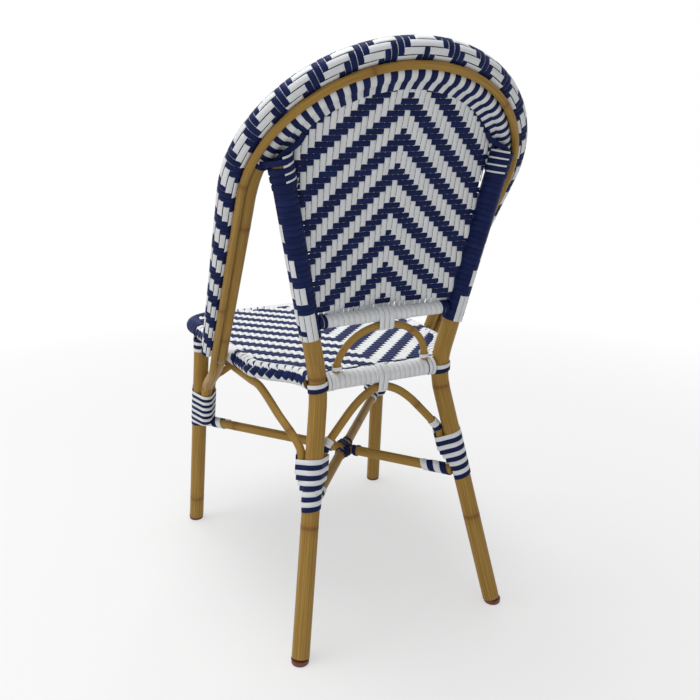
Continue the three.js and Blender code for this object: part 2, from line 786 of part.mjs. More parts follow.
// Closed skin over two like grids of points, with the same diagonals on both faces
function slabGeometry(back, front) {
  const columns = back[0].length;
  const rows = back.length;
  const offset = rows * columns;
  const triangles = [];
  for (let row = 0; row < rows - 1; row += 1) {
    for (let column = 0; column < columns - 1; column += 1) {
      const a = row * columns + column;
      const [b, c, d] = [a + 1, a + columns + 1, a + columns];
      triangles.push(a, b, c, a, c, d);
      triangles.push(offset + a, offset + c, offset + b, offset + a, offset + d, offset + c);
    }
  }
  const foot = Array.from({ length: columns - 1 }, (_, i) => i);
  const right = Array.from({ length: rows - 1 }, (_, i) => (i + 1) * columns - 1);
  const head = foot.map(i => offset - 1 - i);
  const left = right.map((_, i) => (rows - 1 - i) * columns);
  const rim = [...foot, ...right, ...head, ...left];
  rim.forEach((p, i) => {
    const q = rim[(i + 1) % rim.length];
    triangles.push(q, p, offset + p, q, offset + p, offset + q);
  });
  return skinGeometry([...back.flat(), ...front.flat()], triangles);
}

// The arch that stands on the seat's rear rail under the back rail
const backArchFoot = seatTubeHeight + woundSeatRailRadius + seatGap;
const backArchApex = backRailHeight - woundBackRailRadius - backArchRadius - seatGap;

// The arch's line where it has risen by a share of its height
function backArchAt(side, rise) {
  const rear = postAt(1, backRailHeight).y;
  return v(
    side * backArchHalfWidth * Math.sqrt(1 - rise * rise),
    mix(kneeAxis.y, rear, rise),
    mix(backArchFoot, backArchApex, rise),
  );
}

function makeBackArch() {
  const points = Array.from({ length: archSteps + 1 }, (_, i) => {
    const angle = Math.PI * i / archSteps;
    return backArchAt(Math.sign(archSteps / 2 - i), Math.sin(angle));
  });
  const rings = tubeRings(points, backArchRadius, thinSides, v(0, 1, 0));
  for (const end of [rings[0], rings[rings.length - 1]]) {
    for (const point of end) point.z = backArchFoot;
  }
  add('back_arch', loft(rings), bamboo);
  const tieLength = (tieTurns + 1) * tieWidth + tieTurns * strandSpacing;
  const riseAt = height => (strandSpacing + height) / (backArchApex - backArchFoot);
  for (const [side, word] of [[1, 'left'], [-1, 'right']]) {
    const centre = backArchAt(side, riseAt(tieLength / 2));
    lashing(`back_arch_tie_${word}`, white, {
      centre,
      axis: v(0, 0, 1),
      guide: v(1, 0, 0),
      circles: height => {
        const spot = backArchAt(side, riseAt(height)).sub(centre);
        return [{ x: spot.x, y: spot.y, radius: backArchRadius + tieSlack }];
      },
      turns: tieTurns,
      width: tieWidth,
    });
  }
}

// Braces: each runs up beside a leg through its joint, and from there to its high stretch
const braceTopHeight = Math.max(rearWrapTop, frontWrapTop) + braceRadius;

function halfArch(legAt, spot, crest, shares) {
  const top = braceTopHeight;
  const high = legAt(top).add(spot);
  const points = shares.map(([plan, rise]) => along(high, crest, plan).setZ(mix(top, crest.z, rise)));
  return [legAt(braceEndHeight).add(spot), ...points];
}

function makeArch(name, halves, crests, guide) {
  const path = smooth([...halves[0], ...crests, ...halves[1].reverse()], archSteps);
  add(name, tube(path, braceRadius, thinSides, guide), bamboo);
}

function makeRearArch() {
  const crest = v(0, kneeAxis.y, seatTubeHeight - woundSeatRailRadius - braceRadius - seatGap);
  const halves = [1, -1].map(side => (
    halfArch(height => rearLegAt(side, height), rearArchSpot(side), crest, archShares)
  ));
  makeArch('rear_arch', halves, [crest], v(0, 1, 0));
}

function makeFrontArch() {
  const crest = v(0, -frontTopReach, frontArchApexHeight);
  const halves = [1, -1].map(side => (
    halfArch(height => frontLegAt(side, height), frontArchSpot(side), crest, archShares)
  ));
  makeArch('front_arch', halves, [crest], v(0, 1, 0));
}

function makeSideArch(side, word) {
  const height = seatTubeHeight - seatSkinRadius - braceRadius - 2 * braceSlack;
  const crests = [sideArchReach, -sideArchReach].map(y => v(side * seatSideX(y), y, height));
  const [rearSpot, frontSpot] = [sideArchRearSpot(side), sideArchFrontSpot(side)];
  const rear = halfArch(level => rearLegAt(side, level), rearSpot, crests[0], sideArchShares);
  const front = halfArch(level => frontLegAt(side, level), frontSpot, crests[1], sideArchShares);
  makeArch(`side_arch_${word}`, [rear, front], crests, v(1, 0, 0));
}

// Crossed stretchers: one runs through, the other is in two halves that meet it
function leanClearance(low, high) {
  const run = Math.hypot(high.x - low.x, high.y - low.y);
  return stretcherRadius * run / (high.z - low.z);
}

function makeStretchers() {
  const frontSpots = [1, -1].map(side => frontLegAt(side, stretcherHeight));
  const rearSpots = [1, -1].map(side => rearLegAt(side, stretcherHeight));
  const frontStop = legRadius + seatGap + leanClearance(frontFoot(1), frontTop(1));
  const rearStop = legRadius + seatGap + leanClearance(rearFoot(1), kink(1));
  const through = rearSpots[1].clone().sub(frontSpots[0]).normalize();
  const crossing = rearSpots[0].clone().sub(frontSpots[1]).normalize();
  const crossShare = frontSpots[0].x / (frontSpots[0].x + rearSpots[0].x);
  const middle = v(0, mix(frontSpots[0].y, rearSpots[0].y, crossShare), stretcherHeight);
  const sine = Math.abs(through.x * crossing.y - through.y * crossing.x);
  const cosine = Math.abs(through.dot(crossing));
  const meeting = (stretcherRadius + seatGap) / sine + stretcherRadius * cosine / sine;
  const ends = {
    front_left: frontSpots[0].clone().addScaledVector(through, frontStop),
    rear_right: rearSpots[1].clone().addScaledVector(through, -rearStop),
    front_right: frontSpots[1].clone().addScaledVector(crossing, frontStop),
    rear_left: rearSpots[0].clone().addScaledVector(crossing, -rearStop),
  };
  const bar = (name, a, b) => add(name, tube([a, b], stretcherRadius, tubeSides, v(0, 0, 1)), bamboo);
  bar('stretcher_through', ends.front_left, ends.rear_right);
  bar('stretcher_half_front', ends.front_right, middle.clone().addScaledVector(crossing, -meeting));
  bar('stretcher_half_rear', middle.clone().addScaledVector(crossing, meeting), ends.rear_left);
  const slope = Math.abs(through.y / through.x);
  const spread = stretcherRadius / Math.abs(through.x) - stretcherRadius + tieWidth * slope / 2;
  const centreLength = (tieTurns + 1) * tieWidth + tieTurns * strandSpacing;
  lashing('stretcher_centre_lashing', navy, {
    centre: middle,
    axis: v(1, 0, 0),
    guide: v(0, 0, 1),
    circles: height => [-1, 1].map(sign => ({
      x: 0,
      y: sign * (Math.abs(height - centreLength / 2) * slope + spread),
      radius: stretcherRadius + seatGap,
    })),
    turns: tieTurns,
    width: tieWidth,
  });
  for (const [word, end] of Object.entries(ends)) {
    const axis = middle.clone().sub(end).normalize();
    lashing(`stretcher_end_wrap_${word}`, white, {
      centre: end.clone().addScaledVector(axis, endWrapDistance),
      axis,
      guide: v(0, 0, 1),
      circles: round(stretcherRadius),
      turns: tieTurns,
      width: tieWidth,
    });
  }
}

// Lashings round the rear legs where the seat's tubes meet them, and under the front of the seat
function makeLegLashings(side, word) {
  lashing(`seat_lashing_${word}`, navy, {
    centre: v(kneeAxis.x * side, kneeAxis.y, seatTubeHeight),
    axis: v(0, 0, 1),
    guide: v(1, 0, 0),
    circles: height => {
      const knee = kneeAt(side, seatTubeHeight - lashingHalfHeight + height);
      return [{ x: knee.x - side * kneeAxis.x, y: knee.y - kneeAxis.y, radius: legRadius * kneeSlantShare }];
    },
    turns: tieTurns,
    width: lashingWidth,
  });
  const top = frontTop(side);
  const length = lashingTurns * (tieWidth + strandSpacing) + tieWidth;
  lashing(`leg_top_wrap_${word}`, navy, {
    centre: frontLegAt(side, top.z - legTopWrapDrop - length / 2),
    axis: top.clone().sub(frontFoot(side)).normalize(),
    guide: v(1, 0, 0),
    circles: round(legRadius),
    turns: lashingTurns,
    width: tieWidth,
  });
}

// White bands that hold each arch to the middle of the rail beside it
function makeArchLashings() {
  const rear = postAt(1, backRailHeight).y;
  lashing('back_rail_centre_lashing', white, {
    centre: v(0, rear, backRailHeight),
    axis: v(1, 0, 0),
    guide: v(0, 0, 1),
    circles: () => [
      { x: 0, y: 0, radius: woundBackRailRadius },
      { x: -woundBackRailRadius - backArchRadius - seatGap, y: 0, radius: backArchRadius + archSlack },
    ],
    turns: lashingTurns,
    width: lashingWidth,
  });
  lashing('seat_rail_centre_lashing', white, {
    centre: v(0, kneeAxis.y, seatTubeHeight),
    axis: v(1, 0, 0),
    guide: v(0, 0, 1),
    circles: () => [
      { x: 0, y: 0, radius: woundSeatRailRadius },
      { x: -woundSeatRailRadius - braceRadius - seatGap, y: 0, radius: braceRadius + archSlack },
    ],
    turns: tieTurns,
    width: lashingWidth,
  });
}

// Where the hoop passes the seat: a spacer to the seat's side, and the screw through the tube
function makeHoopFixing(side, word) {
  const spot = mirrored(innerTubeAt(seatTubeHeight), side);
  const outer = spot.x - side * (innerRadius + seatGap);
  const inner = side * (seatSideX(spot.y) + seatSkinRadius + 2 * seatGap);
  const ends = (side > 0 ? [inner, outer] : [outer, inner]).map(x => v(x, spot.y, spot.z));
  add(`hoop_spacer_${word}`, tube(ends, braceRadius, thinSides, v(0, 0, 1)), white);
  const outside = innerRadius + seatGap;
  const reaches = [outside, outside + screwHeadHeight];
  const head = reaches.map(reach => spot.clone().addScaledVector(hoopForward, -reach));
  add(`hoop_screw_${word}`, tube(head, screwHeadDiameter / 2, thinSides, v(1, 0, 0)), steel);
}

for (const [side, word] of [[1, 'left'], [-1, 'right']]) {
  makeRearLeg(side, word);
  makeFrontLeg(side, word);
  makeFootPlug(rearFoot(side), `rear_foot_plug_${word}`);
  makeFootPlug(frontFoot(side), `front_foot_plug_${word}`);
  makeRearJoint(side, word);
  makeFrontJoint(side, word);
  makeSideArch(side, word);
  makeJunction(side, word);
  makePostWrap(side, word);
  makeLegLashings(side, word);
  makeHoopFixing(side, word);
}
makeSeatFrame();
makeSeatWeave();
makeSeatRail();
makeHoop();
makeStripes();
makeBackRail();
makeBackWeave();
makeBackArch();
makeRearArch();
makeFrontArch();
makeStretchers();
makeArchLashings();

// The origin goes to the floor under the middle of the chair's box
const middle = new THREE.Box3().setFromObject(chair).getCenter(v(0, 0, 0));
for (const mesh of chair.children) mesh.geometry.translate(-middle.x, -middle.y, 0);

export default chair;
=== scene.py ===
"""Rattan bistro chair: bamboo-look tubes, strands woven over and under, and wound joints.

Every length is in metres. The chair faces -Y and stands on the floor at Z = 0.
"""

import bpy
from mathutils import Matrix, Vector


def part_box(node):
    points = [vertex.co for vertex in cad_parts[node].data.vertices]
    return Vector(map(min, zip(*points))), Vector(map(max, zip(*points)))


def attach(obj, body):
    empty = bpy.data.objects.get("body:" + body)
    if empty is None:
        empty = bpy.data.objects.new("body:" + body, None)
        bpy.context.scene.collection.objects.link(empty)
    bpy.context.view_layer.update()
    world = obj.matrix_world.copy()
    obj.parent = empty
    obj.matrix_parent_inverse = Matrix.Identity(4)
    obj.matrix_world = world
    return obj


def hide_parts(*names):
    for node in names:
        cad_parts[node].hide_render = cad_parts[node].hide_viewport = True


bl_info = {
    "name": "Rattan bistro chair",
    "version": (1, 0, 0),
    "blender": (4, 5, 0),
    "location": "View3D > Sidebar > Bistro chair",
    "description": "Builds the tubes, the woven panels and the wound joints of a bistro chair",
    "category": "Object",
}

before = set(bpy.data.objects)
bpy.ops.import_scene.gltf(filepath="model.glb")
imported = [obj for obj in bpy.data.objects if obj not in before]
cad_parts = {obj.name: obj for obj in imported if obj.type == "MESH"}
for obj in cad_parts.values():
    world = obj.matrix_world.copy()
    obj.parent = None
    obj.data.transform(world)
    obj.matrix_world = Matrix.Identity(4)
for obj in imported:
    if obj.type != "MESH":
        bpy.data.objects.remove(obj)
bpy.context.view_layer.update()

import math

import bpy
import numpy as np
from bpy.props import FloatProperty, FloatVectorProperty, IntProperty, PointerProperty
from mathutils import Vector

SIDES = (("left", 1), ("right", -1))
LINE_STEP = 0.004
RIM_ROOM = 0.0025
SHARP_ANGLE = math.radians(55)
STRAND_BEVEL = 0.45
FINE_STEP = 0.003
KNOT_REACHES = (0.0035, 0.0014, 0.0026, 0.012)
KNOT_SHADE, KNOT_GROOVE = 0.35, 0.7
CROSSING_SPEED = 1.5
X, Y, Z = np.eye(3)


def length(name, default, description):
    return FloatProperty(
        name=name, description=description, default=default, subtype="DISTANCE", unit="LENGTH")


def turn(name, degrees, description):
    return FloatProperty(
        name=name, description=description, default=math.radians(degrees), subtype="ANGLE", unit="ROTATION")


def colour(name, default, description):
    return FloatVectorProperty(
        name=name, description=description, default=default, subtype="COLOR", size=3, min=0, max=1)


def count(name, default, description):
    return IntProperty(name=name, description=description, default=default, min=1)


class BistroTubeSizes(bpy.types.PropertyGroup):
    """Diameters of the tubes"""

    leg: length("Leg", 0.029, "Diameter of the legs and posts")
    hoop_inner: length("Hoop, inner tube", 0.0214, "Diameter of the hoop's inner tube")
    hoop_outer: length("Hoop, outer tube", 0.018, "Diameter of the tube inside the woven band")
    hoop_trim: length("Hoop, trim tube", 0.0116, "Diameter of the thin tube behind the hoop")
    seat: length("Seat tube", 0.024, "Diameter of the tube round the seat")
    back_rail: length("Back rail", 0.016, "Diameter of the rail under the back panel")
    stretcher: length("Stretcher", 0.0175, "Diameter of the crossed stretchers")
    brace: length("Brace", 0.0134, "Diameter of the braces under the seat")
    back_arch: length("Back arch", 0.0114, "Diameter of the small arch under the back rail")
    gap: length("Clearance", 0.0003, "Clearance between pieces that touch")
    knot_spacing: length("Knot spacing", 0.24, "Distance between the bamboo knots")
    knot_swell: length("Knot swell", 0.0003, "How far a bamboo knot stands out")


class BistroStanceSizes(bpy.types.PropertyGroup):
    """Places of the legs, the seat and the rails"""

    front_top_reach: length("Front leg top", 0.181, "How far forward the top of a front leg is")
    kink_half_span: length("Bend half span", 0.1077, "Half the distance between the bends of the rear legs")
    kink_setback: length("Bend setback", 0.1843, "How far back the bends of the rear legs are")
    kink_height: length("Bend height", 0.427, "Height of the bends of the rear legs")
    kink_bend: length("Bend length", 0.042, "Length of leg on each side that takes part in the bend")
    rear_foot_setback: length("Rear foot setback", 0.274, "How far back the rear feet are")
    plug_height: length("Foot plug height", 0.008, "Height of the plugs under the legs")
    seat_height: length("Seat height", 0.449, "Height of the seat's edge")
    seat_front_reach: length("Seat reach", 0.266, "How far forward the seat tube's middle line is")
    seat_front_half_width: length("Seat front half width", 0.199, "Half the seat's width at the front")
    seat_rear_half_width: length("Seat rear half width", 0.1726, "Half the seat's width near the rear legs")
    seat_front_corner: length("Seat front corner", 0.046, "Radius of the seat's front corners")
    seat_rear_place: length("Seat rear place", 0.05, "How far before the rear legs' bends that width is measured")
    back_rail_height: length("Back rail height", 0.535, "Height of the rail under the back panel")
    back_rail_half_wound: length("Wound half length", 0.1135, "Half the length of the back rail's winding")
    back_arch_half_width: length("Back arch half width", 0.08, "Half the width of the small arch")
    stretcher_height: length("Stretcher height", 0.244, "Height of the crossed stretchers")
    brace_end_height: length("Brace end height", 0.293, "Height of the lower ends of the braces")
    brace_slack: length("Brace slack", 0.0012, "Room between a brace and the leg that it stands beside")
    rear_wrap_top: length("Rear joint top", 0.321, "Height of the top of the rear joints' winding")
    front_wrap_top: length("Front joint top", 0.315, "Height of the top of the front joints' winding")
    wrap_bottom: length("Joint bottom", 0.2345, "Height of the bottom of the joints' winding")
    side_arch_reach: length("Side arch reach", 0.06, "Half the length of a side brace's level stretch")
    front_arch_apex: length("Front arch height", 0.404, "Height of the brace between the front legs")
    post_weave_start: length("Post cover start", 0.513, "Height where the woven cover of a post starts")
    rear_arch_turn: turn("Rear arch place", 204, "Where the rear arch stands beside the leg")
    side_arch_rear_turn: turn("Side arch place, rear", -45, "Where a side arch stands beside the rear leg")
    front_arch_turn: turn("Front arch place", 197, "Where the front arch stands beside the leg")
    side_arch_front_turn: turn("Side arch place, front", 147, "Where a side arch stands beside the front leg")
    hoop_end_turn: turn("Hoop end place", 103, "Where the hoop's lower end stands beside the front leg")


class BistroHoopSizes(bpy.types.PropertyGroup):
    """Shape of the leaning hoop and of the back panel"""

    lean: turn("Lean", 32.8, "How far the hoop leans back")
    start_height: length("Start height", 0.427, "Height where the hoop's plane starts")
    start_setback: length("Start setback", -0.0039, "How far back the hoop's plane starts")
    half_width: length("Half width", 0.223, "Half the hoop's width")
    straight: length("Straight length", 0.351, "Length of the hoop's straight sides")
    crown: length("Crown height", 0.201, "Height of the hoop's crown over its straight sides")
    inner_low_inset: length("Inner tube, low inset", 0.0143, "Inset of the inner tube low down")
    inner_top_inset: length("Inner tube, top inset", 0.0163, "Inset of the inner tube at the top")
    inner_low_forward: length("Inner tube, low forward", 0.0091, "Reach of the inner tube in front, low down")
    inner_top_forward: length("Inner tube, top forward", 0.0106, "Reach of the inner tube in front, at the top")
    outer_low_offset: length("Outer tube, low offset", 0.007, "Offset of the outer tube low down")
    outer_top_offset: length("Outer tube, top offset", 0.0124, "Offset of the outer tube at the top")
    outer_low_forward: length("Outer tube, low forward", 0.0157, "Reach of the outer tube in front, low down")
    outer_top_forward: length("Outer tube, top forward", 0.0186, "Reach of the outer tube in front, at the top")
    end_bow: length("End bow", 0.002, "How far the hoop's lower ends bow back")
    swell_rise: length("Swell rise", 0.330, "Rise over which the hoop's tubes spread and the band thickens")
    junction: length("Junction height", 0.770, "Height where the posts meet the hoop")
    head_turn: turn("Post head place", 51.54, "Where a post's head lies beside the hoop's inner tube")
    trim_start: length("Trim start", 0.026, "How far below the hoop's start the even run of the trim tube reaches")
    band_start: length("Band start", 0.012, "Where the woven band starts")
    band_low_wall: length("Band wall, low", 0.0017, "Thickness of the woven band low down")
    band_top_wall: length("Band wall, top", 0.0067, "Thickness of the woven band over the crown")
    panel_foot: length("Panel foot", 0.1874, "How far back the panel's foot is")
    panel_rake: FloatProperty(name="Panel rake", description="Slope of the panel at its foot", default=0.094)
    panel_curl: length("Panel curl", 2.46, "Length that sets how the panel curls back as it rises")
    panel_rim: length("Panel rim", 0.0164, "Distance of the panel's rim from the hoop's inner tube")


class BistroStrandSizes(bpy.types.PropertyGroup):
    """Sizes of the strands that are woven and wound"""

    thickness: length("Strand thickness", 0.0012, "Thickness of a woven strand")
    wound_thickness: length("Wound strand thickness", 0.0021, "Thickness of a wound strand")
    lift: length("Weave lift", 0.0007, "How far a strand rises over the one that it crosses")
    slit: length("Slit", 0.0006, "Width of the slit between strands")
    fine_slit: length("Fine slit", 0.00005, "Width of the slit between the blue cross strands")
    post_row: length("Post row", 0.0087, "Pitch of the blue strands round the posts")
    column: length("Panel column", 0.009, "Pitch of the white strands of the panels")
    panel_thickness: length("Panel strand thickness", 0.0016, "Thickness of the strands of the two panels")
    panel_lift: length("Panel lift", 0.0011, "How far a panel's strand rises over the one that it crosses")
    row: length("Panel row", 0.0084, "Pitch of the blue strands of the back panel")
    row_start: length("Panel row start", 0.0021, "Height of the back panel's first row over its foot")
    foot_overlap: length("Foot overlap", 0.009, "Reach of the back panel's strands down over the rail")
    seat_row: length("Seat row", 0.00908, "Pitch of the blue strands of the seat")
    stripe: length("Stripe, low", 0.0079, "Pitch of the stripes round the hoop's inner tube near the posts")
    stripe_top: length("Stripe, top", 0.0097, "Pitch of those stripes at the crown")
    stripe_tail: length("Stripe tail, low", 0.005, "Reach of the stripes over the panel near the posts")
    stripe_tail_top: length("Stripe tail, top", 0.001, "Reach of the stripes over the panel at the crown")
    front_joint_stripe: length("Front joint stripe", 0.0064, "Pitch of the stripes of the front leg joints")
    rear_joint_stripe: length("Rear joint stripe", 0.0089, "Pitch of the stripes of the rear leg joints")
    joint_thickness: length("Joint strand thickness", 0.0013, "Thickness of the strands round the leg joints")
    band_row: length("Band row, low", 0.0082, "Pitch of the cross strands of the hoop's band low down")
    band_row_top: length("Band row, top", 0.0083, "Pitch of those cross strands over the crown")
    band_columns: count("Band columns", 10, "Long strands round the hoop's band")
    leaf: length("Leaf pitch", 0.0143, "Pitch of the leaves round the seat's edge")
    leaf_width: length("Leaf width", 0.0112, "Width of a leaf round the seat's edge")
    corner_cover: length("Corner cover", 0.108, "Length of the blue winding round the seat's front corners")
    corner_shift: length("Corner shift", 0.016, "How far that winding sits back from the corner's middle")
    corner_row: length("Corner row", 0.0078, "Pitch of the strands of that winding")
    lashing: length("Lashing strand", 0.0082, "Width of the strand of a lashing")
    tie: length("Tie strand", 0.006, "Width of the strand of a tie")


class BistroColours(bpy.types.PropertyGroup):
    """Colours of the finishes"""

    navy: colour("Navy", (0.009, 0.015, 0.070), "Blue strands")
    # Lighter blue for wear, used also as a painted highlight on the blue strands.
    navy_wear_and_highlight: colour("Navy, worn and painted highlight", (0.020, 0.040, 0.15), "Blue strands where they are rubbed, and painted highlight")
    white: colour("White", (0.78, 0.80, 0.82), "White strands")
    # Grey laid in patches on the white strands as painted shade.
    white_painted_shade: colour("White, painted shade", (0.60, 0.61, 0.60), "White strands in painted shade")
    bamboo: colour("Bamboo", (0.32, 0.18, 0.036), "Gold-brown of the tubes")
    bamboo_light: colour("Bamboo, light", (0.46, 0.29, 0.08), "Lighter streaks of the tubes")
    bamboo_dark: colour("Bamboo, dark", (0.17, 0.062, 0.018), "Knots and dark streaks of the tubes")
    plug: colour("Foot plug", (0.20, 0.06, 0.035), "Plugs under the legs")
    steel: colour("Screw", (0.42, 0.38, 0.32), "Screws through the hoop")
    floor: colour("Floor", (0.86, 0.86, 0.86), "Floor under the chair")


GROUPS = {
    "bistro_tubes": BistroTubeSizes,
    "bistro_stance": BistroStanceSizes,
    "bistro_hoop": BistroHoopSizes,
    "bistro_strands": BistroStrandSizes,
    "bistro_colours": BistroColours,
}


def vec(x, y, z):
    return np.array([x, y, z], float)


def unit(a):
    return a / np.linalg.norm(a, axis=-1, keepdims=True)


def mix(a, b, share):
    return a + (b - a) * share


def smooth_share(share):
    share = np.clip(share, 0, 1)
    return share * share * (3 - 2 * share)


def distances(points):
    """How far along a line each of its points is."""
    return np.concatenate([[0], np.cumsum(np.linalg.norm(np.diff(points, axis=0), axis=1))])


def read_at(place, places, values):
    """The rows of values at one place or several; places says where each row stands."""
    return np.stack([np.interp(place, places, column) for column in values.T], -1)


def resample(points, step=LINE_STEP):
    """The same line with its points a step apart."""
    points = np.asarray(points, float)
    run = distances(points)
    return read_at(np.linspace(0, run[-1], max(2, int(round(run[-1] / step)) + 1)), run, points)


def full_turn(steps):
    return np.linspace(0, 2 * math.pi, steps, endpoint=False)


def aims(turned, first, second):
    """Directions in the plane of first and second, turned from first towards second."""
    return np.cos(turned)[:, None] * first + np.sin(turned)[:, None] * second


def rounded(points, steps=12):
    """A smooth line through a few points, as a centripetal Catmull-Rom spline."""
    points = [np.asarray(p, float) for p in points]
    ends = [2 * points[0] - points[1], *points, 2 * points[-1] - points[-2]]
    line = []
    for four in zip(ends, ends[1:], ends[2:], ends[3:]):
        gaps = (math.sqrt(np.linalg.norm(q - p)) for p, q in zip(four, four[1:]))
        times = np.cumsum([0, *(max(gap, 1e-6) for gap in gaps)])
        for t in np.linspace(times[1], times[2], steps, endpoint=False):
            level = four
            for spans in (((0, 1), (1, 2), (2, 3)), ((0, 2), (1, 3)), ((1, 2),)):
                level = [mix(p, q, (t - times[a]) / (times[b] - times[a]))
                         for p, q, (a, b) in zip(level, level[1:], spans)]
            line.append(level[0])
    return np.array(line + [points[-1]])


def axes_along(points, guide):
    """Two directions square to a line at each of its points; the first one leans towards guide."""
    direction = unit(np.gradient(points, axis=0))
    guide = np.broadcast_to(guide, points.shape)
    first = unit(guide - direction * np.sum(guide * direction, axis=1, keepdims=True))
    return first, np.cross(direction, first)


class Chair:
    """The chair's lines and surfaces, worked out from its sizes. Sides are 1 for left and -1 for right."""

    rear_bend = ((0.006, -0.0145), (0.009, -0.034), (0.017, -0.052), (0.029, -0.067), (0.042, -0.080),
                 (0.053, -0.094))
    side_start, side_stretch = -0.115, 0.03
    brace_top, hoop_end_top = 0.318, 0.314
    panel_rounds, panel_flare, panel_beyond, panel_middle_share = 8, 1.4, 1.2, 1e-4

    def __init__(self, scene):
        self.tube, self.stance = scene.bistro_tubes, scene.bistro_stance
        self.hoop, self.strand = scene.bistro_hoop, scene.bistro_strands
        t, s, h = self.tube, self.stance, self.hoop
        low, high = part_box("rear_foot_plug_left")
        self.shift = (low.y + high.y) / 2 - s.rear_foot_setback
        self.rear_foot = vec((low.x + high.x) / 2, s.rear_foot_setback, 0)
        low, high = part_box("front_foot_plug_left")
        self.front_foot = vec((low.x + high.x) / 2, (low.y + high.y) / 2 - self.shift, 0)
        low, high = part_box("seat_edge_weave")
        self.seat_skin = (high.z - low.z) / 2
        self.seat_axis = s.seat_height - self.seat_skin
        self.kink = vec(s.kink_half_span, s.kink_setback, s.kink_height)
        run = s.seat_front_reach - s.seat_front_corner + s.kink_setback - s.seat_rear_place
        self.side_slope = (s.seat_front_half_width - s.seat_rear_half_width) / run
        front_y = -s.front_top_reach
        self.front_top = vec(self.seat_side_x(front_y), front_y, self.seat_axis - self.seat_skin - t.gap)
        self.rise = vec(0, math.sin(h.lean), math.cos(h.lean))
        self.forward = vec(0, -math.cos(h.lean), math.sin(h.lean))
        self.crown_length = math.pi * math.sqrt((h.half_width ** 2 + h.crown ** 2) / 2)
        self.hoop_length = 2 * h.straight + self.crown_length
        self.inner_out = (-h.inner_low_inset, -h.inner_top_inset)
        self.inner_forward = (h.inner_low_forward, h.inner_top_forward)
        self.outer_out = (h.outer_low_offset, h.outer_top_offset)
        self.outer_forward = (h.outer_low_forward, h.outer_top_forward)
        self.post_head = self.find_post_head()

    def seat_side_x(self, y):
        s = self.stance
        return s.seat_front_half_width - self.side_slope * (y + s.seat_front_reach - s.seat_front_corner)

    def hoop_frame(self, travel):
        """Middle, outward direction and climb of the hoop after a travel from its left start."""
        h = self.hoop
        travel = np.atleast_1d(np.asarray(travel, float))
        turned = np.clip(travel - h.straight, 0, self.crown_length)
        angle = math.pi * turned / self.crown_length
        straight = np.where(travel < h.straight, travel, np.minimum(self.hoop_length - travel, h.straight))
        lift = straight + h.crown * np.sin(angle)
        centre = vec(0, h.start_setback, h.start_height) + lift[:, None] * self.rise
        centre[:, 0] += h.half_width * np.cos(angle)
        outward = (h.half_width * np.sin(angle))[:, None] * self.rise
        outward[:, 0] += h.crown * np.cos(angle)
        climb = np.clip((centre[:, 2] - h.start_height) / h.swell_rise, 0, 1)
        return centre, unit(outward), climb

    def hoop_points(self, travel, out, forward):
        centre, outward, climb = self.hoop_frame(travel)
        return (centre + outward * mix(out[0], out[1], climb)[:, None]
                + self.forward * mix(forward[0], forward[1], climb)[:, None])

    def hoop_line(self, start, out, forward, step=0.006):
        travel = np.linspace(start, self.hoop_length - start, int(self.hoop_length / step))
        return travel, self.hoop_points(travel, out, forward)

    def travel_at(self, height):
        travel = np.linspace(0, self.hoop_length / 2, 2000)
        z = self.hoop_points(travel, self.inner_out, self.inner_forward)[:, 2]
        return float(np.interp(height, z, travel))

    def inner_tube_at(self, height):
        return self.hoop_points(self.travel_at(height), self.inner_out, self.inner_forward)[0]

    def find_post_head(self):
        t, height = self.tube, self.hoop.junction
        away = vec(-math.cos(self.hoop.head_turn), math.sin(self.hoop.head_turn), 0)
        direction = unit(self.inner_tube_at(height + t.leg / 2) - self.inner_tube_at(height - t.leg / 2))
        reach = (t.hoop_inner / 2 + t.leg / 2 + 2 * t.gap) / math.sqrt(1 - float(away @ direction) ** 2)
        return self.inner_tube_at(height) + away * reach

    def mirrored(self, points, side):
        return np.asarray(points) * [side, 1, 1]

    def at_height(self, low, high, height):
        return mix(low, high, (height - low[2]) / (high[2] - low[2]))

    def rear_leg_at(self, height):
        return self.at_height(self.rear_foot, self.kink, height)

    def front_leg_at(self, height):
        return self.at_height(self.front_foot, self.front_top, height)

    def post_at(self, height):
        return self.at_height(self.kink, self.post_head, height)

    def knee(self, steps=16):
        bend = self.stance.kink_bend
        below = self.kink + unit(self.rear_foot - self.kink) * bend
        above = self.kink + unit(self.post_head - self.kink) * bend
        share = np.linspace(0, 1, steps)[:, None]
        return below * (1 - share) ** 2 + 2 * self.kink * share * (1 - share) + above * share ** 2

    def knee_at(self, height):
        line = np.concatenate([[self.rear_foot], self.knee(), [self.post_head]])
        return read_at(height, line[:, 2], line)

    def rear_leg_line(self):
        foot = self.rear_leg_at(self.stance.plug_height + self.tube.gap)
        return resample(np.concatenate([[foot], self.knee(), [self.post_head]]))

    def front_leg_line(self):
        return resample([self.front_leg_at(self.stance.plug_height + self.tube.gap), self.front_top])

    def seat_line(self, inset=0.0):
        """The seat tube's line, from the left rear leg round the front to the right rear leg."""
        s, knee = self.stance, self.knee_at(self.seat_axis)
        rear = [knee + vec(x, y, 0) for x, y in self.rear_bend]
        start = knee[1] + self.side_start
        side = [vec(self.seat_side_x(y), y, self.seat_axis) for y in (start, start - self.side_stretch)]
        front_x = s.seat_front_half_width - s.seat_front_corner
        front_y = s.seat_front_corner - s.seat_front_reach
        angle = np.linspace(0, -math.pi / 2, 14)
        ring = vec(front_x, front_y, self.seat_axis) + s.seat_front_corner * aims(angle, X, Y)
        half = resample(np.concatenate([rounded([*rear, *side]), ring]))
        way = np.gradient(half, axis=0)
        half = half - inset * unit(np.stack([-way[:, 1], way[:, 0], 0 * way[:, 0]], 1))
        return resample(np.concatenate([half, self.mirrored(half[::-1], -1)]))

    def beside(self, angle, radius, slack):
        reach = self.tube.leg / 2 + radius + slack + 2 * self.tube.gap
        return vec(math.cos(angle), math.sin(angle), 0) * reach

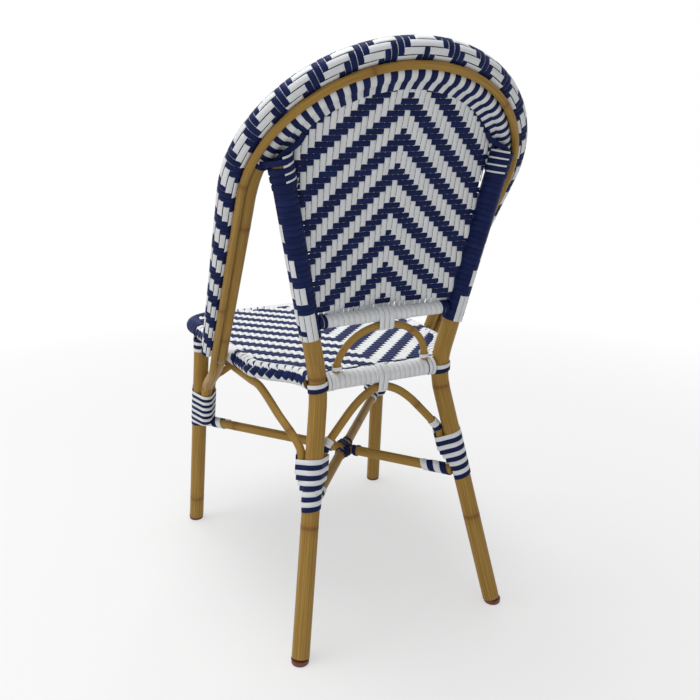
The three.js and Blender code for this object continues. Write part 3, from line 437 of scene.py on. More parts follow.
    def brace_spots(self):
        """Where the braces and the hoop's ends stand beside the left legs."""
        s, radius = self.stance, self.tube.brace / 2
        return {
            "rear_arch": self.beside(s.rear_arch_turn, radius, s.brace_slack),
            "side_rear": self.beside(s.side_arch_rear_turn, radius, s.brace_slack),
            "front_arch": self.beside(s.front_arch_turn, radius, s.brace_slack),
            "side_front": self.beside(s.side_arch_front_turn, radius, 2 * s.brace_slack),
            "hoop": self.beside(s.hoop_end_turn, self.tube.hoop_inner / 2, s.brace_slack),
        }

    def half_arch(self, leg_at, spot, crest, shares):
        """Points of a brace from its lower end to near its crest; shares says how far in and up each one is."""
        top = self.brace_top + self.tube.brace / 2
        high = leg_at(top) + spot
        points = []
        for plan, rise in shares:
            point = mix(high, crest, plan)
            point[2] = mix(top, crest[2], rise)
            points.append(point)
        return [leg_at(self.stance.brace_end_height) + spot, *points]

    def inner_tube_line(self):
        spot = self.brace_spots()["hoop"]
        top = self.front_leg_at(self.hoop_end_top + self.tube.brace / 2) + spot
        low = self.front_leg_at(self.stance.brace_end_height) + spot
        joint = self.hoop_points(0, self.inner_out, self.inner_forward)[0]
        bow = mix(joint, top, 0.5) - self.forward * self.hoop.end_bow
        travel = np.linspace(0, self.hoop_length, 36)
        run = self.hoop_points(travel, self.inner_out, self.inner_forward)
        ends = np.array([low, top, bow])
        return resample(rounded([*ends, *run, *self.mirrored(ends[::-1], -1)]))

    def panel_foot_height(self):
        t, wall = self.tube, self.strand.wound_thickness
        return self.stance.back_rail_height + t.back_rail / 2 + 2 * (t.gap + wall) + t.gap

    def panel_middle(self, height):
        climb = height - self.panel_foot_height()
        return self.hoop.panel_foot + self.hoop.panel_rake * climb + climb * climb / self.hoop.panel_curl

    def post_coordinate(self, height, part):
        """One coordinate of the post's middle line at heights."""
        share = (height - self.kink[2]) / (self.post_head[2] - self.kink[2])
        return mix(self.kink[part], self.post_head[part], share)

    def panel_side_x(self, height):
        return self.post_coordinate(height, 0) - self.tube.leg / 2 - RIM_ROOM - 3 * self.tube.gap

    def panel_rim(self, across):
        """Points of the panel's rim under the hoop, from its middle (0) to its corner (1)."""
        corner = self.travel_at(self.hoop.junction) + self.tube.hoop_inner / 2 + RIM_ROOM
        travel = mix(self.hoop_length / 2, corner, np.abs(across))
        outward = self.hoop_frame(travel)[1]
        rim = self.hoop_points(travel, self.inner_out, self.inner_forward) - outward * self.hoop.panel_rim
        rim[:, 0] = np.minimum(rim[:, 0], self.panel_side_x(rim[:, 2]))
        return rim

    def panel_place(self, x, z):
        """The share across and the share up of places on the back panel, and the rim above them."""
        foot, x = self.panel_foot_height(), np.abs(x)
        foot_x = self.panel_side_x(foot)
        across = np.clip(x / self.panel_side_x(z), 0, 1)
        least = self.panel_middle_share
        for _ in range(self.panel_rounds):
            rim = self.panel_rim(across)
            up = (z - foot) / (rim[:, 2] - foot)
            head = np.where(across > least, rim[:, 0] / np.maximum(across, least), foot_x * self.panel_flare)
            across = np.clip(x / mix(foot_x, head, np.clip(up, 0, 1)), 0, self.panel_beyond)
        return across, up, rim

    def panel_points(self, x, z):
        across, up, rim = self.panel_place(x, z)

        def bow(height):
            return mix(self.panel_middle(height), self.post_coordinate(height, 1), across ** 2)

        y = bow(z) + (rim[:, 1] - bow(rim[:, 2])) * np.clip(up, 0, self.panel_beyond) ** 4
        return np.stack([x, y, z], 1), across, up

    def panel_surface(self, x, z):
        """Points of the back panel with the direction that its rear face looks in."""
        step = 0.002
        points, across, up = self.panel_points(x, z)
        along_x = self.panel_points(x + step, z)[0] - self.panel_points(x - step, z)[0]
        along_z = self.panel_points(x, z + step)[0] - self.panel_points(x, z - step)[0]
        return points, unit(np.cross(along_z, along_x)), across, up


class Rails:
    """Lines that strands and tubes are swept along, with the values on their points."""

    values = ("radius", "knot", "tint", "along")
    tint_step, tint_start = 0.6180339, 0.137

    def __init__(self, chair):
        self.chair = chair
        self.points, self.outward, self.edges = [], [], []
        self.floats = {key: [] for key in self.values}
        self.size = 0

    def add(self, points, outward, radius=1.0, knot=0.0, closed=False):
        number = len(points)
        if number < 2:
            return
        tint = (len(self.points) * self.tint_step + self.tint_start) % 1
        self.points.append(points + [0, self.chair.shift, 0])
        self.outward.append(np.broadcast_to(outward, (number, 3)))
        for key, value in zip(self.values, (radius, knot, tint, distances(points))):
            self.floats[key].append(np.broadcast_to(value, number))
        index = self.size + np.arange(number)
        self.edges.append(np.stack([index[:-1], index[1:]], 1))
        if closed:
            self.edges.append([[index[-1], index[0]]])
        self.size += number

    def mesh(self, name):
        mesh = bpy.data.meshes.new(name)
        mesh.from_pydata(np.concatenate(self.points).tolist(), np.concatenate(self.edges).tolist(), [])
        for key, values in self.floats.items():
            values = np.concatenate(values).astype(np.float32)
            mesh.attributes.new(key, "FLOAT", "POINT").data.foreach_set("value", values)
        outward = np.concatenate(self.outward).astype(np.float32).ravel()
        mesh.attributes.new("outward", "FLOAT_VECTOR", "POINT").data.foreach_set("vector", outward)
        return mesh


def feed(tree, socket, value):
    """Links a socket to the output that is given, or sets its value."""
    if isinstance(value, bpy.types.NodeSocket):
        tree.links.new(value, socket)
    else:
        socket.default_value = value


def add_node(tree, kind, settings):
    node = tree.nodes.new(kind)
    for key, value in (settings or {}).items():
        setattr(node, key, value)
    return node


class Tree:
    """Builds a Geometry Nodes tree: one method adds a node with its settings and its sockets' values."""

    def __init__(self, name, inputs):
        self.group = bpy.data.node_groups.new(name, "GeometryNodeTree")
        self.group.interface.new_socket("Geometry", in_out="INPUT", socket_type="NodeSocketGeometry")
        self.group.interface.new_socket("Geometry", in_out="OUTPUT", socket_type="NodeSocketGeometry")
        for label, kind in inputs:
            self.group.interface.new_socket(label, in_out="INPUT", socket_type=kind)
        self.entry = self.group.nodes.new("NodeGroupInput").outputs
        self.exit = self.group.nodes.new("NodeGroupOutput").inputs

    def node(self, kind, settings=None, **values):
        node = add_node(self.group, kind, settings)
        for key, value in values.items():
            feed(self.group, self.socket(node, key.replace("_", " ")), value)
        return node.outputs[0]

    def socket(self, node, label):
        live = [socket for socket in node.inputs if socket.enabled and socket.name.lower() == label.lower()]
        if not live:
            raise RuntimeError(f"{node.bl_idname} has no socket named {label}")
        return live[0]

    def named(self, name, kind):
        return self.node("GeometryNodeInputNamedAttribute", {"data_type": kind}, name=name)

    def math(self, kind, operation, values):
        """A node whose sockets share a name, so that they are found by their numbers."""
        node = add_node(self.group, kind, {"operation": operation})
        for key, value in values.items():
            feed(self.group, node.inputs[key], value)
        return node.outputs[0]


def strand_tree():
    """Flat strands with rounded edges, swept along the rails with their broad side facing outward."""
    tree = Tree("Strand sweep", (
        ("Width", "NodeSocketFloat"), ("Thickness", "NodeSocketFloat"), ("Material", "NodeSocketMaterial")))
    width, thickness = tree.entry["Width"], tree.entry["Thickness"]
    profile = tree.node(
        "GeometryNodeCurvePrimitiveQuadrilateral", {"mode": "RECTANGLE"}, width=thickness, height=width)
    bevel = tree.math("ShaderNodeMath", "MULTIPLY", {0: thickness, 1: STRAND_BEVEL})
    profile = tree.node("GeometryNodeFilletCurve", {"mode": "POLY"}, curve=profile, count=1, radius=bevel)
    place, inverse = tree.node("GeometryNodeInputPosition"), tree.math("ShaderNodeMath", "DIVIDE", {0: 1.0, 1: width})
    share = tree.math("ShaderNodeVectorMath", "SCALE", {0: place, "Scale": inverse})
    return sweep(tree, profile, share)


def tube_tree():
    """Round tubes swept along the rails, as thick as the rails' own radius says."""
    tree = Tree("Tube sweep", (("Sides", "NodeSocketInt"), ("Material", "NodeSocketMaterial")))
    profile = tree.node(
        "GeometryNodeCurvePrimitiveCircle", {"mode": "RADIUS"}, resolution=tree.entry["Sides"], radius=1.0)
    return sweep(tree, profile, tree.node("GeometryNodeInputPosition"))


def sweep(tree, profile, around):
    """The part that both trees share: around is kept on the profile, for the materials."""
    curve = tree.node("GeometryNodeMeshToCurve", mesh=tree.entry["Geometry"])
    curve = tree.node(
        "GeometryNodeSetCurveNormal", {"mode": "FREE"}, curve=curve, normal=tree.named("outward", "FLOAT_VECTOR"))
    profile = tree.node(
        "GeometryNodeStoreNamedAttribute", {"data_type": "FLOAT_VECTOR", "domain": "POINT"},
        geometry=profile, name="around", value=around)
    mesh = tree.node(
        "GeometryNodeCurveToMesh", curve=curve, profile_curve=profile,
        scale=tree.named("radius", "FLOAT"), fill_caps=True)
    mesh = tree.node("GeometryNodeRealizeInstances", geometry=mesh)
    mesh = tree.node("GeometryNodeSetMaterial", geometry=mesh, material=tree.entry["Material"])
    tree.group.links.new(mesh, tree.exit["Geometry"])
    return tree.group


def face_out(mesh):
    """Turns a closed mesh's faces outward if they all point in."""
    mesh.calc_loop_triangles()
    corners = np.empty(len(mesh.loop_triangles) * 3, np.int32)
    mesh.loop_triangles.foreach_get("vertices", corners)
    places = np.empty(len(mesh.vertices) * 3, np.float32)
    mesh.vertices.foreach_get("co", places)
    a, b, c = places.reshape(-1, 3)[corners.reshape(-1, 3)].astype(float).transpose(1, 0, 2)
    if np.sum(a * np.cross(b, c)) < 0:
        mesh.flip_normals()


def add_object(name, data):
    made = bpy.data.objects.new(name, data)
    bpy.context.scene.collection.objects.link(made)
    return made


def finish_piece(name, mesh, nodes):
    """Makes a finished mesh a piece of the chair."""
    face_out(mesh)
    mesh.shade_smooth()
    mesh.set_sharp_from_angle(angle=SHARP_ANGLE)
    piece = add_object(name, mesh)
    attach(piece, "root")
    if nodes:
        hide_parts(*nodes)


def grow(name, rails, group, values, nodes):
    """Runs a tree over the rails and keeps the result as a plain mesh."""
    carrier = add_object(name + "_rails", rails.mesh(name + "_rails"))
    modifier = carrier.modifiers.new("Sweep", "NODES")
    modifier.node_group = group
    for item in group.interface.items_tree:
        if item.item_type == "SOCKET" and item.in_out == "INPUT" and item.name in values:
            modifier[item.identifier] = values[item.name]
    bpy.context.view_layer.update()
    depsgraph = bpy.context.evaluated_depsgraph_get()
    mesh = bpy.data.meshes.new_from_object(carrier.evaluated_get(depsgraph), depsgraph=depsgraph)
    mesh.name = name
    carrier.modifiers.clear()
    bpy.data.objects.remove(carrier)
    finish_piece(name, mesh, nodes)


def tree_named(name, make):
    return bpy.data.node_groups.get(name) or make()


def strands(name, rails, tone, width, thickness, nodes=()):
    """Makes a piece of blue or white strands, with the finish of a plain strand of that colour."""
    kind = f"{tone}_strand"
    values = {"Width": width, "Thickness": thickness, "Material": look(kind)}
    grow(name, rails, tree_named("Strand sweep", strand_tree), values, nodes)


def weave(prefix, white, navy, thickness, node):
    """Makes the two pieces of a woven place; white and navy are their rails and widths."""
    for tone, (rails, width) in (("white", white), ("navy", navy)):
        strands(f"{prefix}_{tone}", rails, tone, width, thickness, [node])


def tubes(name, rails, kind, nodes, sides=28):
    values = {"Sides": sides, "Material": look(kind)}
    grow(name, rails, tree_named("Tube sweep", tube_tree), values, nodes)


class Value:
    """A shader socket that Python's arithmetic can be written on."""

    def __init__(self, shader, socket):
        self.shader, self.socket = shader, socket

    def math(self, operation, other):
        return self.shader.node("ShaderNodeMath", {"operation": operation}, [self, other])

    def __add__(self, other):
        return self.math("ADD", other)

    __radd__ = __add__

    def __mul__(self, other):
        return self.math("MULTIPLY", other)

    def __sub__(self, other):
        return self.math("SUBTRACT", other)

    def clamp(self):
        held = self.math("MULTIPLY", 1.0)
        held.socket.node.use_clamp = True
        return held


class Shader:
    """Builds the nodes of a material or a world: one method adds a node with its settings and values."""

    def __init__(self, holder):
        holder.use_nodes = True
        self.holder, self.tree = holder, holder.node_tree
        self.surface = self.tree.nodes.get("Principled BSDF")

    def node(self, kind, settings=None, values=(), output=0):
        node = add_node(self.tree, kind, settings)
        for key, value in values.items() if isinstance(values, dict) else enumerate(values):
            self.put(node.inputs[key], value)
        return Value(self, node.outputs[output])

    def put(self, socket, value):
        feed(self.tree, socket, getattr(value, "socket", value))

    def set(self, **values):
        for key, value in values.items():
            self.put(self.surface.inputs[key.replace("_", " ")], value)

    def attribute(self, name, output="Fac"):
        return self.node("ShaderNodeAttribute", {"attribute_name": name}, output=output)

    def noise(self, vector, scale, detail):
        return self.node("ShaderNodeTexNoise", None, {"Vector": vector, "Scale": scale, "Detail": detail})

    def blend(self, share, first, second):
        """Mixes two colours, by the numbers of the node's sockets for colours."""
        first, second = (part if isinstance(part, Value) else (*part, 1) for part in (first, second))
        return self.node("ShaderNodeMix", {"data_type": "RGBA"}, {0: share, 6: first, 7: second}, output=2)

    def bump(self, height, strength, distance):
        values = {"Height": height, "Strength": strength, "Distance": distance}
        self.set(Normal=self.node("ShaderNodeBump", None, values))

    strand_offset = 37.0

    def grain(self, across, along, detail):
        """Noise that follows the piece, as fine round it and along it as asked, and offset for each strand."""
        around = self.node("ShaderNodeSeparateXYZ", None, [self.attribute("around", "Vector")]).socket.node.outputs
        offset = self.attribute("tint") * self.strand_offset
        place = self.node("ShaderNodeCombineXYZ", None, [
            Value(self, around[0]) * across + offset,
            Value(self, around[1]) * across,
            self.attribute("along") * along,
        ])
        return self.noise(place, 1.0, detail)


def new_look(name, shine):
    shader = Shader(bpy.data.materials.new(name))
    shader.surface.inputs["Specular IOR Level"].default_value = shine
    return shader


def bamboo_look(name, colours):
    """Gold-brown paint over a bamboo-shaped tube, with long streaks, blotches and dark knots."""
    shader = new_look(name, 0.12)
    streaks = shader.grain(across=7.0, along=9.0, detail=4.0)
    blotches = shader.grain(across=1.2, along=22.0, detail=2.0)
    specks = shader.grain(across=16.0, along=130.0, detail=2.0)
    base = shader.blend(((streaks - 0.38) * 2.6).clamp(), colours.bamboo, colours.bamboo_light)
    base = shader.blend(((blotches - 0.55) * 2.2).clamp() * 0.45, base, colours.bamboo_dark)
    ring = (shader.attribute("knot") * (0.35 + specks * 0.8)).clamp() * 0.85
    base = shader.blend(ring, base, colours.bamboo_dark)
    shader.set(Base_Color=base, Roughness=(0.33 + streaks * 0.22), Coat_Roughness=0.25, Coat_Weight=0.06)
    shader.bump(streaks * 0.6 + specks * 0.25, strength=0.35, distance=0.0006)
    return shader.holder


def strand_look(name, fresh, wear_and_painted_light, roughness, shine):
    """Flat plastic strand with fine grooves along it; each strand differs a little from the next. Patches of its
    second colour are wear with a painted highlight on the blue strands, and painted shade on the white ones.
    """
    shader = new_look(name, shine)
    grooves = shader.grain(across=26.0, along=3.0, detail=2.0)
    patches = shader.grain(across=1.5, along=45.0, detail=3.0)
    tint = shader.attribute("tint")
    # Share of the second colour in random patches: wear and painted highlight on blue, painted shade on white.
    painted_light_and_wear_share = ((patches - 0.42) * 1.6 + (tint - 0.5) * 0.45).clamp() * 0.7
    shader.set(Base_Color=shader.blend(painted_light_and_wear_share, fresh, wear_and_painted_light), Roughness=(roughness + grooves * 0.2))
    shader.bump(grooves, strength=0.3, distance=0.0004)
    return shader.holder


def plain_look(name, base, roughness, metallic, grain):
    """One colour that darkens here and there, for the plugs and the screws."""
    shader = new_look(name, 0.5)
    noise = shader.noise(shader.node("ShaderNodeTexCoord", output="Object"), grain, 4.0)
    shader.surface.inputs["Metallic"].default_value = metallic
    dark = [part * 0.6 for part in base]
    shader.set(Base_Color=shader.blend(noise, base, dark), Roughness=(roughness + noise * 0.2))
    shader.bump(noise, strength=0.25, distance=0.0005)
    return shader.holder


def look(kind):
    """The finish of that kind, made when it is first asked for."""
    name = f"bistro_{kind}"
    if name in bpy.data.materials:
        return bpy.data.materials[name]
    colours = bpy.context.scene.bistro_colours
    if kind == "bamboo":
        return bamboo_look(name, colours)
    if kind == "navy_strand":
        return strand_look(name, colours.navy, colours.navy_wear_and_highlight, roughness=0.36, shine=0.07)
    if kind == "white_strand":
        return strand_look(name, colours.white, colours.white_painted_shade, roughness=0.38, shine=0.3)
    if kind == "plug":
        return plain_look(name, colours.plug, roughness=0.45, metallic=0.0, grain=260.0)
    return plain_look(name, colours.steel, roughness=0.25, metallic=0.9, grain=700.0)


def bamboo_tube(chair, node, points, diameter, guide, first_knot=0.5, ending="tube"):
    """Makes a tube with a knot every knot spacing, where it swells a little and darkens."""
    tube = chair.tube
    points = resample(points, FINE_STEP)
    run = np.linspace(0, distances(points)[-1], len(points))
    off = np.abs((run / tube.knot_spacing + first_knot) % 1 - 0.5) * tube.knot_spacing
    rise, groove, dark, shade = (np.exp(-(off / reach) ** 2) for reach in KNOT_REACHES)
    rails = Rails(chair)
    rails.add(points, axes_along(points, guide)[0], knot=np.clip(dark + KNOT_SHADE * shade, 0, 1),
              radius=diameter / 2 + tube.knot_swell * (rise - KNOT_GROOVE * groove))
    tubes(f"{node}_{ending}", rails, "bamboo", [node])


def over_and_under(over, lines, places):
    """Height, from -1 to 1, of lines that cross others: over says which crossings they pass above."""
    before = np.floor(places).astype(int)
    share = smooth_share((places - before - 0.5) * CROSSING_SPEED + 0.5)
    return mix(over(lines, before), over(lines, before + 1), share)


def hull_ring(circles, steps):
    """Even points round the taut outline of a bundle of circles, with their outward directions."""
    angle = np.linspace(0, 2 * math.pi, 181)
    aim = np.stack([np.cos(angle), np.sin(angle)], 1)
    reach = np.stack([aim @ np.array(centre) + radius for centre, radius in circles], 1)
    best = np.argmax(reach, axis=1)
    centres = np.array([circles[i][0] for i in best])
    radii = np.array([circles[i][1] for i in best])
    ring = centres + aim * radii[:, None]
    run = distances(ring)
    places = np.linspace(0, run[-1], steps, endpoint=False)
    facing = np.interp(places, run, angle)
    return read_at(places, run, ring), np.stack([np.cos(facing), np.sin(facing)], 1)


def helix(start, axis, guide, circles, turns, lead, phase, steps=28):
    """Points and outward directions of a helix round a bundle; circles gives the bundle at a height."""
    axis = unit(axis)
    first = unit(guide - axis * float(np.dot(guide, axis)))
    second = np.cross(axis, first)
    points, facing = [], []
    for i in range(int(turns * steps) + 1):
        height = phase + lead * i / steps
        ring, aim = hull_ring(circles(height), steps)
        x, y = ring[i % steps]
        a, b = aim[i % steps]
        points.append(start + axis * height + first * x + second * y)
        facing.append(first * a + second * b)
    return np.array(points), np.array(facing)


def lashing(chair, name, centre, axis, guide, circles, turns, width, colours, nodes=(), thickness=None):
    """Strips wound side by side round a bundle, centred on a point, one strip for each colour."""
    thickness = thickness or chair.strand.wound_thickness
    pitch = width + chair.strand.slit
    lead = pitch * len(colours)
    total = (turns + 1) * lead
    axis = unit(axis)
    start = centre - axis * total / 2
    wall = thickness / 2 + chair.tube.gap

    def grown(height):
        return [(spot, radius + wall) for spot, radius in circles(height - total / 2)]

    for i, tone in enumerate(colours):
        rails = Rails(chair)
        rails.add(*helix(start, axis, guide, grown, turns, lead, i * pitch + width / 2))
        label = f"{name}_{tone}" if len(colours) > 1 else name
        strands(label, rails, tone, width, thickness, nodes)


def add_turn(rails, place, places, parts, turned, reach, radius=1.0):
    """Adds a closed turn round a line; parts are the line and its two directions, read at the place."""
    centre, ahead, across = (read_at(place, places, part) for part in parts)
    aim = aims(turned, ahead, across)
    rails.add(centre + aim * np.reshape(reach, (-1, 1)), aim, radius=radius, closed=True)


def rings(chair, name, line, guide, places, reach, width, tone):
    """Makes a piece of closed turns round a line, at the given distances along it."""
    run, rails = distances(line), Rails(chair)
    first, second = axes_along(line, guide)
    for place in places:
        add_turn(rails, place, run, (line, first, -second), full_turn(40), reach)
    strands(name, rails, tone, width, chair.strand.thickness)


def round_bundle(radius):
    return lambda height: [((0.0, 0.0), radius)]


class ChairPiece:
    """What the chair's operators share."""

    bl_options = {"REGISTER"}

    def execute(self, context):
        self.build(Chair(context.scene))
        return {"FINISHED"}


class BISTRO_OT_legs(ChairPiece, bpy.types.Operator):
    """Adds the four legs as bamboo-look tubes"""

    bl_idname = "bistro.legs"
    bl_label = "Legs"

    def build(self, chair):
        legs = (("rear", chair.rear_leg_line(), (0.62, 0.82)), ("front", chair.front_leg_line(), (0.3, 0.55)))
        for index, (word, side) in enumerate(SIDES):
            for end, line, knots in legs:
                bamboo_tube(chair, f"{end}_leg_{word}", chair.mirrored(line, side), chair.tube.leg, X, knots[index])


class BISTRO_OT_foot_plugs(ChairPiece, bpy.types.Operator):
    """Adds the plugs under the legs, with a chamfer and a rim"""

    bl_idname = "bistro.foot_plugs"
    bl_label = "Foot plugs"

    profile = ((0.86, 0.0), (0.93, 0.04), (0.97, 0.14), (0.985, 0.45), (0.985, 0.78), (1.0, 0.84), (1.0, 1.0))

    def build(self, chair):
        for word, side in SIDES:
            for end, foot in (("rear", chair.rear_foot), ("front", chair.front_foot)):
                self.plug(chair, f"{end}_foot_plug_{word}", chair.mirrored(foot, side))

    def plug(self, chair, node, foot):
        wide, rise = np.array(self.profile).T
        line = foot * [1, 1, 0] + (rise * chair.stance.plug_height)[:, None] * Z
        rails = Rails(chair)
        rails.add(line, X, radius=wide * chair.tube.leg / 2)
        tubes(f"{node}_cap", rails, "plug", [node], sides=36)


class BISTRO_OT_hoop(ChairPiece, bpy.types.Operator):
    """Adds the hoop's inner tube and its thin trim tube"""

    bl_idname = "bistro.hoop"
    bl_label = "Hoop tubes"

    tail = ((0.316, 0.1), (0.345, 0.45), (0.375, 0.9))
    tail_end, trim_resumes = 6, 7

    def build(self, chair):
        inner = chair.inner_tube_line()
        self.tube(chair, "inner", inner, 0.35)
        inner = inner[: len(inner) // 4]

        def inner_at(height):
            return read_at(height, inner[:, 2], inner)

        _, trim = chair.hoop_line(-chair.hoop.trim_start, (0, 0), (0, 0))
        away = trim[0] - inner_at(trim[0][2])
        tail = [inner_at(height) + away * share for height, share in self.tail]
        tail = rounded([*tail, trim[0], trim[self.tail_end]], 6)
        trim = trim[self.trim_resumes:-self.trim_resumes]
        self.tube(chair, "trim", np.concatenate([tail, trim, chair.mirrored(tail[::-1], -1)]), 0.1)

    def tube(self, chair, word, line, knot):
        diameter = getattr(chair.tube, f"hoop_{word}")
        bamboo_tube(chair, f"hoop_{word}_tube", line, diameter, chair.forward, knot, "bamboo")


class BISTRO_OT_hoop_band(ChairPiece, bpy.types.Operator):
    """Weaves the band over the hoop's outer tube"""

    bl_idname = "bistro.hoop_band"
    bl_label = "Hoop band"

    outermost, outer_angle = 5, math.radians(126)
    period, above = 6, 3

    def over(self, column, row):
        return np.where((np.abs(row) - column + self.outermost) % self.period < self.above, 1.0, -1.0)

    def build(self, chair):
        t, h, s = chair.tube, chair.hoop, chair.strand
        travel, line = chair.hoop_line(h.band_start, chair.outer_out, chair.outer_forward, FINE_STEP)
        climb = chair.hoop_frame(travel)[2]
        skin = t.hoop_outer / 2 + t.gap + mix(h.band_low_wall, h.band_top_wall, climb)
        radius = skin - s.thickness / 2 - s.lift
        pitch = mix(s.band_row, s.band_row_top, climb)
        place = np.concatenate([[0], np.cumsum(np.diff(travel) / pitch[1:])])
        place = place - np.interp(chair.hoop_length / 2, travel, place)
        first, second = axes_along(line, chair.forward)
        spread = 2 * math.pi / s.band_columns
        width = spread * radius - s.slit
        white, navy, core = Rails(chair), Rails(chair), Rails(chair)
        for column in range(s.band_columns):
            angle = (column - self.outermost) * spread + self.outer_angle
            aim = first * math.cos(angle) + second * math.sin(angle)
            height = over_and_under(self.over, column, place) * s.lift
            white.add(line + aim * (radius + height)[:, None], aim, radius=width / s.band_row_top)
        turned = full_turn(60)
        column = (turned - self.outer_angle) / spread + self.outermost

        def under(row, number):
            return -self.over(number % s.band_columns, row)

        for row in range(math.ceil(place[0]), math.floor(place[-1]) + 1):
            reach = np.interp(row, place, radius) + over_and_under(under, row, column) * s.lift
            step = (np.interp(row, place, pitch) - s.fine_slit) / s.band_row_top
            add_turn(navy, row, place, (line, first, second), turned, reach, step)
        weave("hoop_band", (white, s.band_row_top), (navy, s.band_row_top), s.thickness, "hoop_band_weave")
        core.add(line, first, radius=radius - s.lift - s.thickness)
        tubes("hoop_outer_tube_core", core, "navy_strand", ["hoop_outer_tube"], sides=20)


class BISTRO_OT_hoop_stripes(ChairPiece, bpy.types.Operator):
    """Adds the striped strands that hold the back panel to the hoop's inner tube"""

    bl_idname = "bistro.hoop_stripes"
    bl_label = "Hoop stripes"

    start_overlap, loop = 0.002, np.radians(np.linspace(150, -140, 28))
    rim_share_across, rim_share_up = 0.98, 0.985

    def build(self, chair):
        s = chair.strand
        half = chair.hoop_length / 2 - chair.travel_at(chair.hoop.junction) + self.start_overlap
        mean = (s.stripe + s.stripe_top) / 2
        number = 2 * int(half / mean / 2)
        white, navy = Rails(chair), Rails(chair)
        for index in range(-number, number + 1):
            share = abs(index) / number
            reach = half * (s.stripe_top * share + (s.stripe - s.stripe_top) * share ** 2 / 2) / mean
            travel = chair.hoop_length / 2 + math.copysign(reach, index)
            width, tail = mix(s.stripe_top, s.stripe, share), mix(s.stripe_tail_top, s.stripe_tail, share)
            self.stripe(chair, white if index % 2 else navy, travel, width, tail)
        weave("hoop_stripe", (white, s.stripe_top), (navy, s.stripe_top), s.thickness, "hoop_stripe_weave")

    def stripe(self, chair, rails, travel, width, tail):
        """A loop round the inner tube, with both ends laid on the panel's faces."""
        s, h = chair.strand, chair.hoop
        outward = chair.hoop_frame(travel)[1][0]
        centre = chair.hoop_points(travel, chair.inner_out, chair.inner_forward)[0]
        aim = aims(self.loop, outward, chair.forward)
        loop = centre + aim * (chair.tube.hoop_inner / 2 + chair.tube.gap + s.wound_thickness / 2)
        reach = np.linspace(h.panel_rim, 3 * h.panel_rim, 60)
        spots = centre - outward * reach[:, None]
        across, up, _ = chair.panel_place(spots[:, 0], spots[:, 2])
        inside = (across < self.rim_share_across) & (up < self.rim_share_up)
        spot = centre - outward * (reach[np.argmax(inside)] + tail)
        surface, rear, _, _ = chair.panel_surface(spot[:1], spot[2:3])
        lift = rear * (s.panel_lift + s.panel_thickness / 2 + s.thickness / 2)
        rails.add(np.concatenate([surface - lift, loop, surface + lift]), np.concatenate([-rear, aim, rear]),
                  radius=(width - s.fine_slit) / s.stripe_top)


class WovenPanel(ChairPiece):
    """What the two woven panels share: white strands along and blue ones across, in a chevron."""

    columns, period, above = 41, 6, 3
    points_per_strand = 3

    def over(self, column, row):
        step = self.chevron_row(row) - np.abs(np.asarray(column) - self.columns // 2)
        return np.where(step % self.period < self.above, 1.0, -1.0)

    def weave_panel(self, chair, node, along, places, across, rows, row_width):
        """along and across give a strand's points, its rear or upper side's directions and the points to keep."""
        s, middle = chair.strand, self.columns // 2
        white, navy = Rails(chair), Rails(chair)
        for column in range(self.columns):
            points, facing, keep = along((column - middle) * s.column)
            height = over_and_under(self.over, column, places) * s.panel_lift
            white.add((points + facing * height[:, None])[keep], facing[keep])
        for row in range(rows):
            points, facing, keep = across(row)
            place = points[:, 0] / s.column + middle
            height = over_and_under(lambda row, column: -self.over(column, row), row, place) * s.panel_lift
            navy.add((points + facing * height[:, None])[keep], facing[keep])
        weave(node, (white, s.column - s.slit), (navy, row_width - s.slit), s.panel_thickness, node)


class BISTRO_OT_back_panel(WovenPanel, bpy.types.Operator):
    """Weaves the back panel in a chevron that points up"""

    bl_idname = "bistro.back_panel"
    bl_label = "Back panel"

    first_row, rows_below = 2, 2
    half_reach, side_overlap = 0.19, 1.035
    tuck, tuck_top, tuck_run = 0.0026, 0.004, 0.01

    def chevron_row(self, row):
        return -(row + self.first_row)

    def build(self, chair):
        s, foot = chair.strand, chair.panel_foot_height()
        heights = self.heights(chair, foot)
        rows, below = len(heights), self.rows_below
        places = np.arange(-below, rows - 0.01, 1 / self.points_per_strand)
        lower = heights[0] - np.arange(below, 0, -1) * (heights[1] - heights[0])
        z = np.interp(places, np.arange(-below, rows), [*lower, *heights])

        def along(x):
            points, rear, across, up = chair.panel_surface(np.full(len(z), x), z)
            points[:, 1] -= self.tuck * smooth_share((foot + self.tuck_top - z) / self.tuck_run)
            return points, rear, (across < 1) & (up < 1) & (z > foot - s.foot_overlap)

        def across(row):
            x = np.arange(-self.half_reach, self.half_reach, s.column / self.points_per_strand)
            points, rear, across, up = chair.panel_surface(x, np.full(len(x), heights[row]))
            return points, rear, (across < self.side_overlap) & (up < 1)

        self.weave_panel(chair, "back_weave", along, places, across, rows, s.row)

    def heights(self, chair, foot):
        """Heights of the rows, which are even along the panel's slope."""
        top = float(chair.panel_rim(np.zeros(1))[0, 2])
        z = np.linspace(foot, top, 400)
        run = distances(chair.panel_points(np.zeros(400), z)[0])
        s = chair.strand
        return np.interp(np.arange(s.row_start + s.row / 2, run[-1], s.row), run, z)


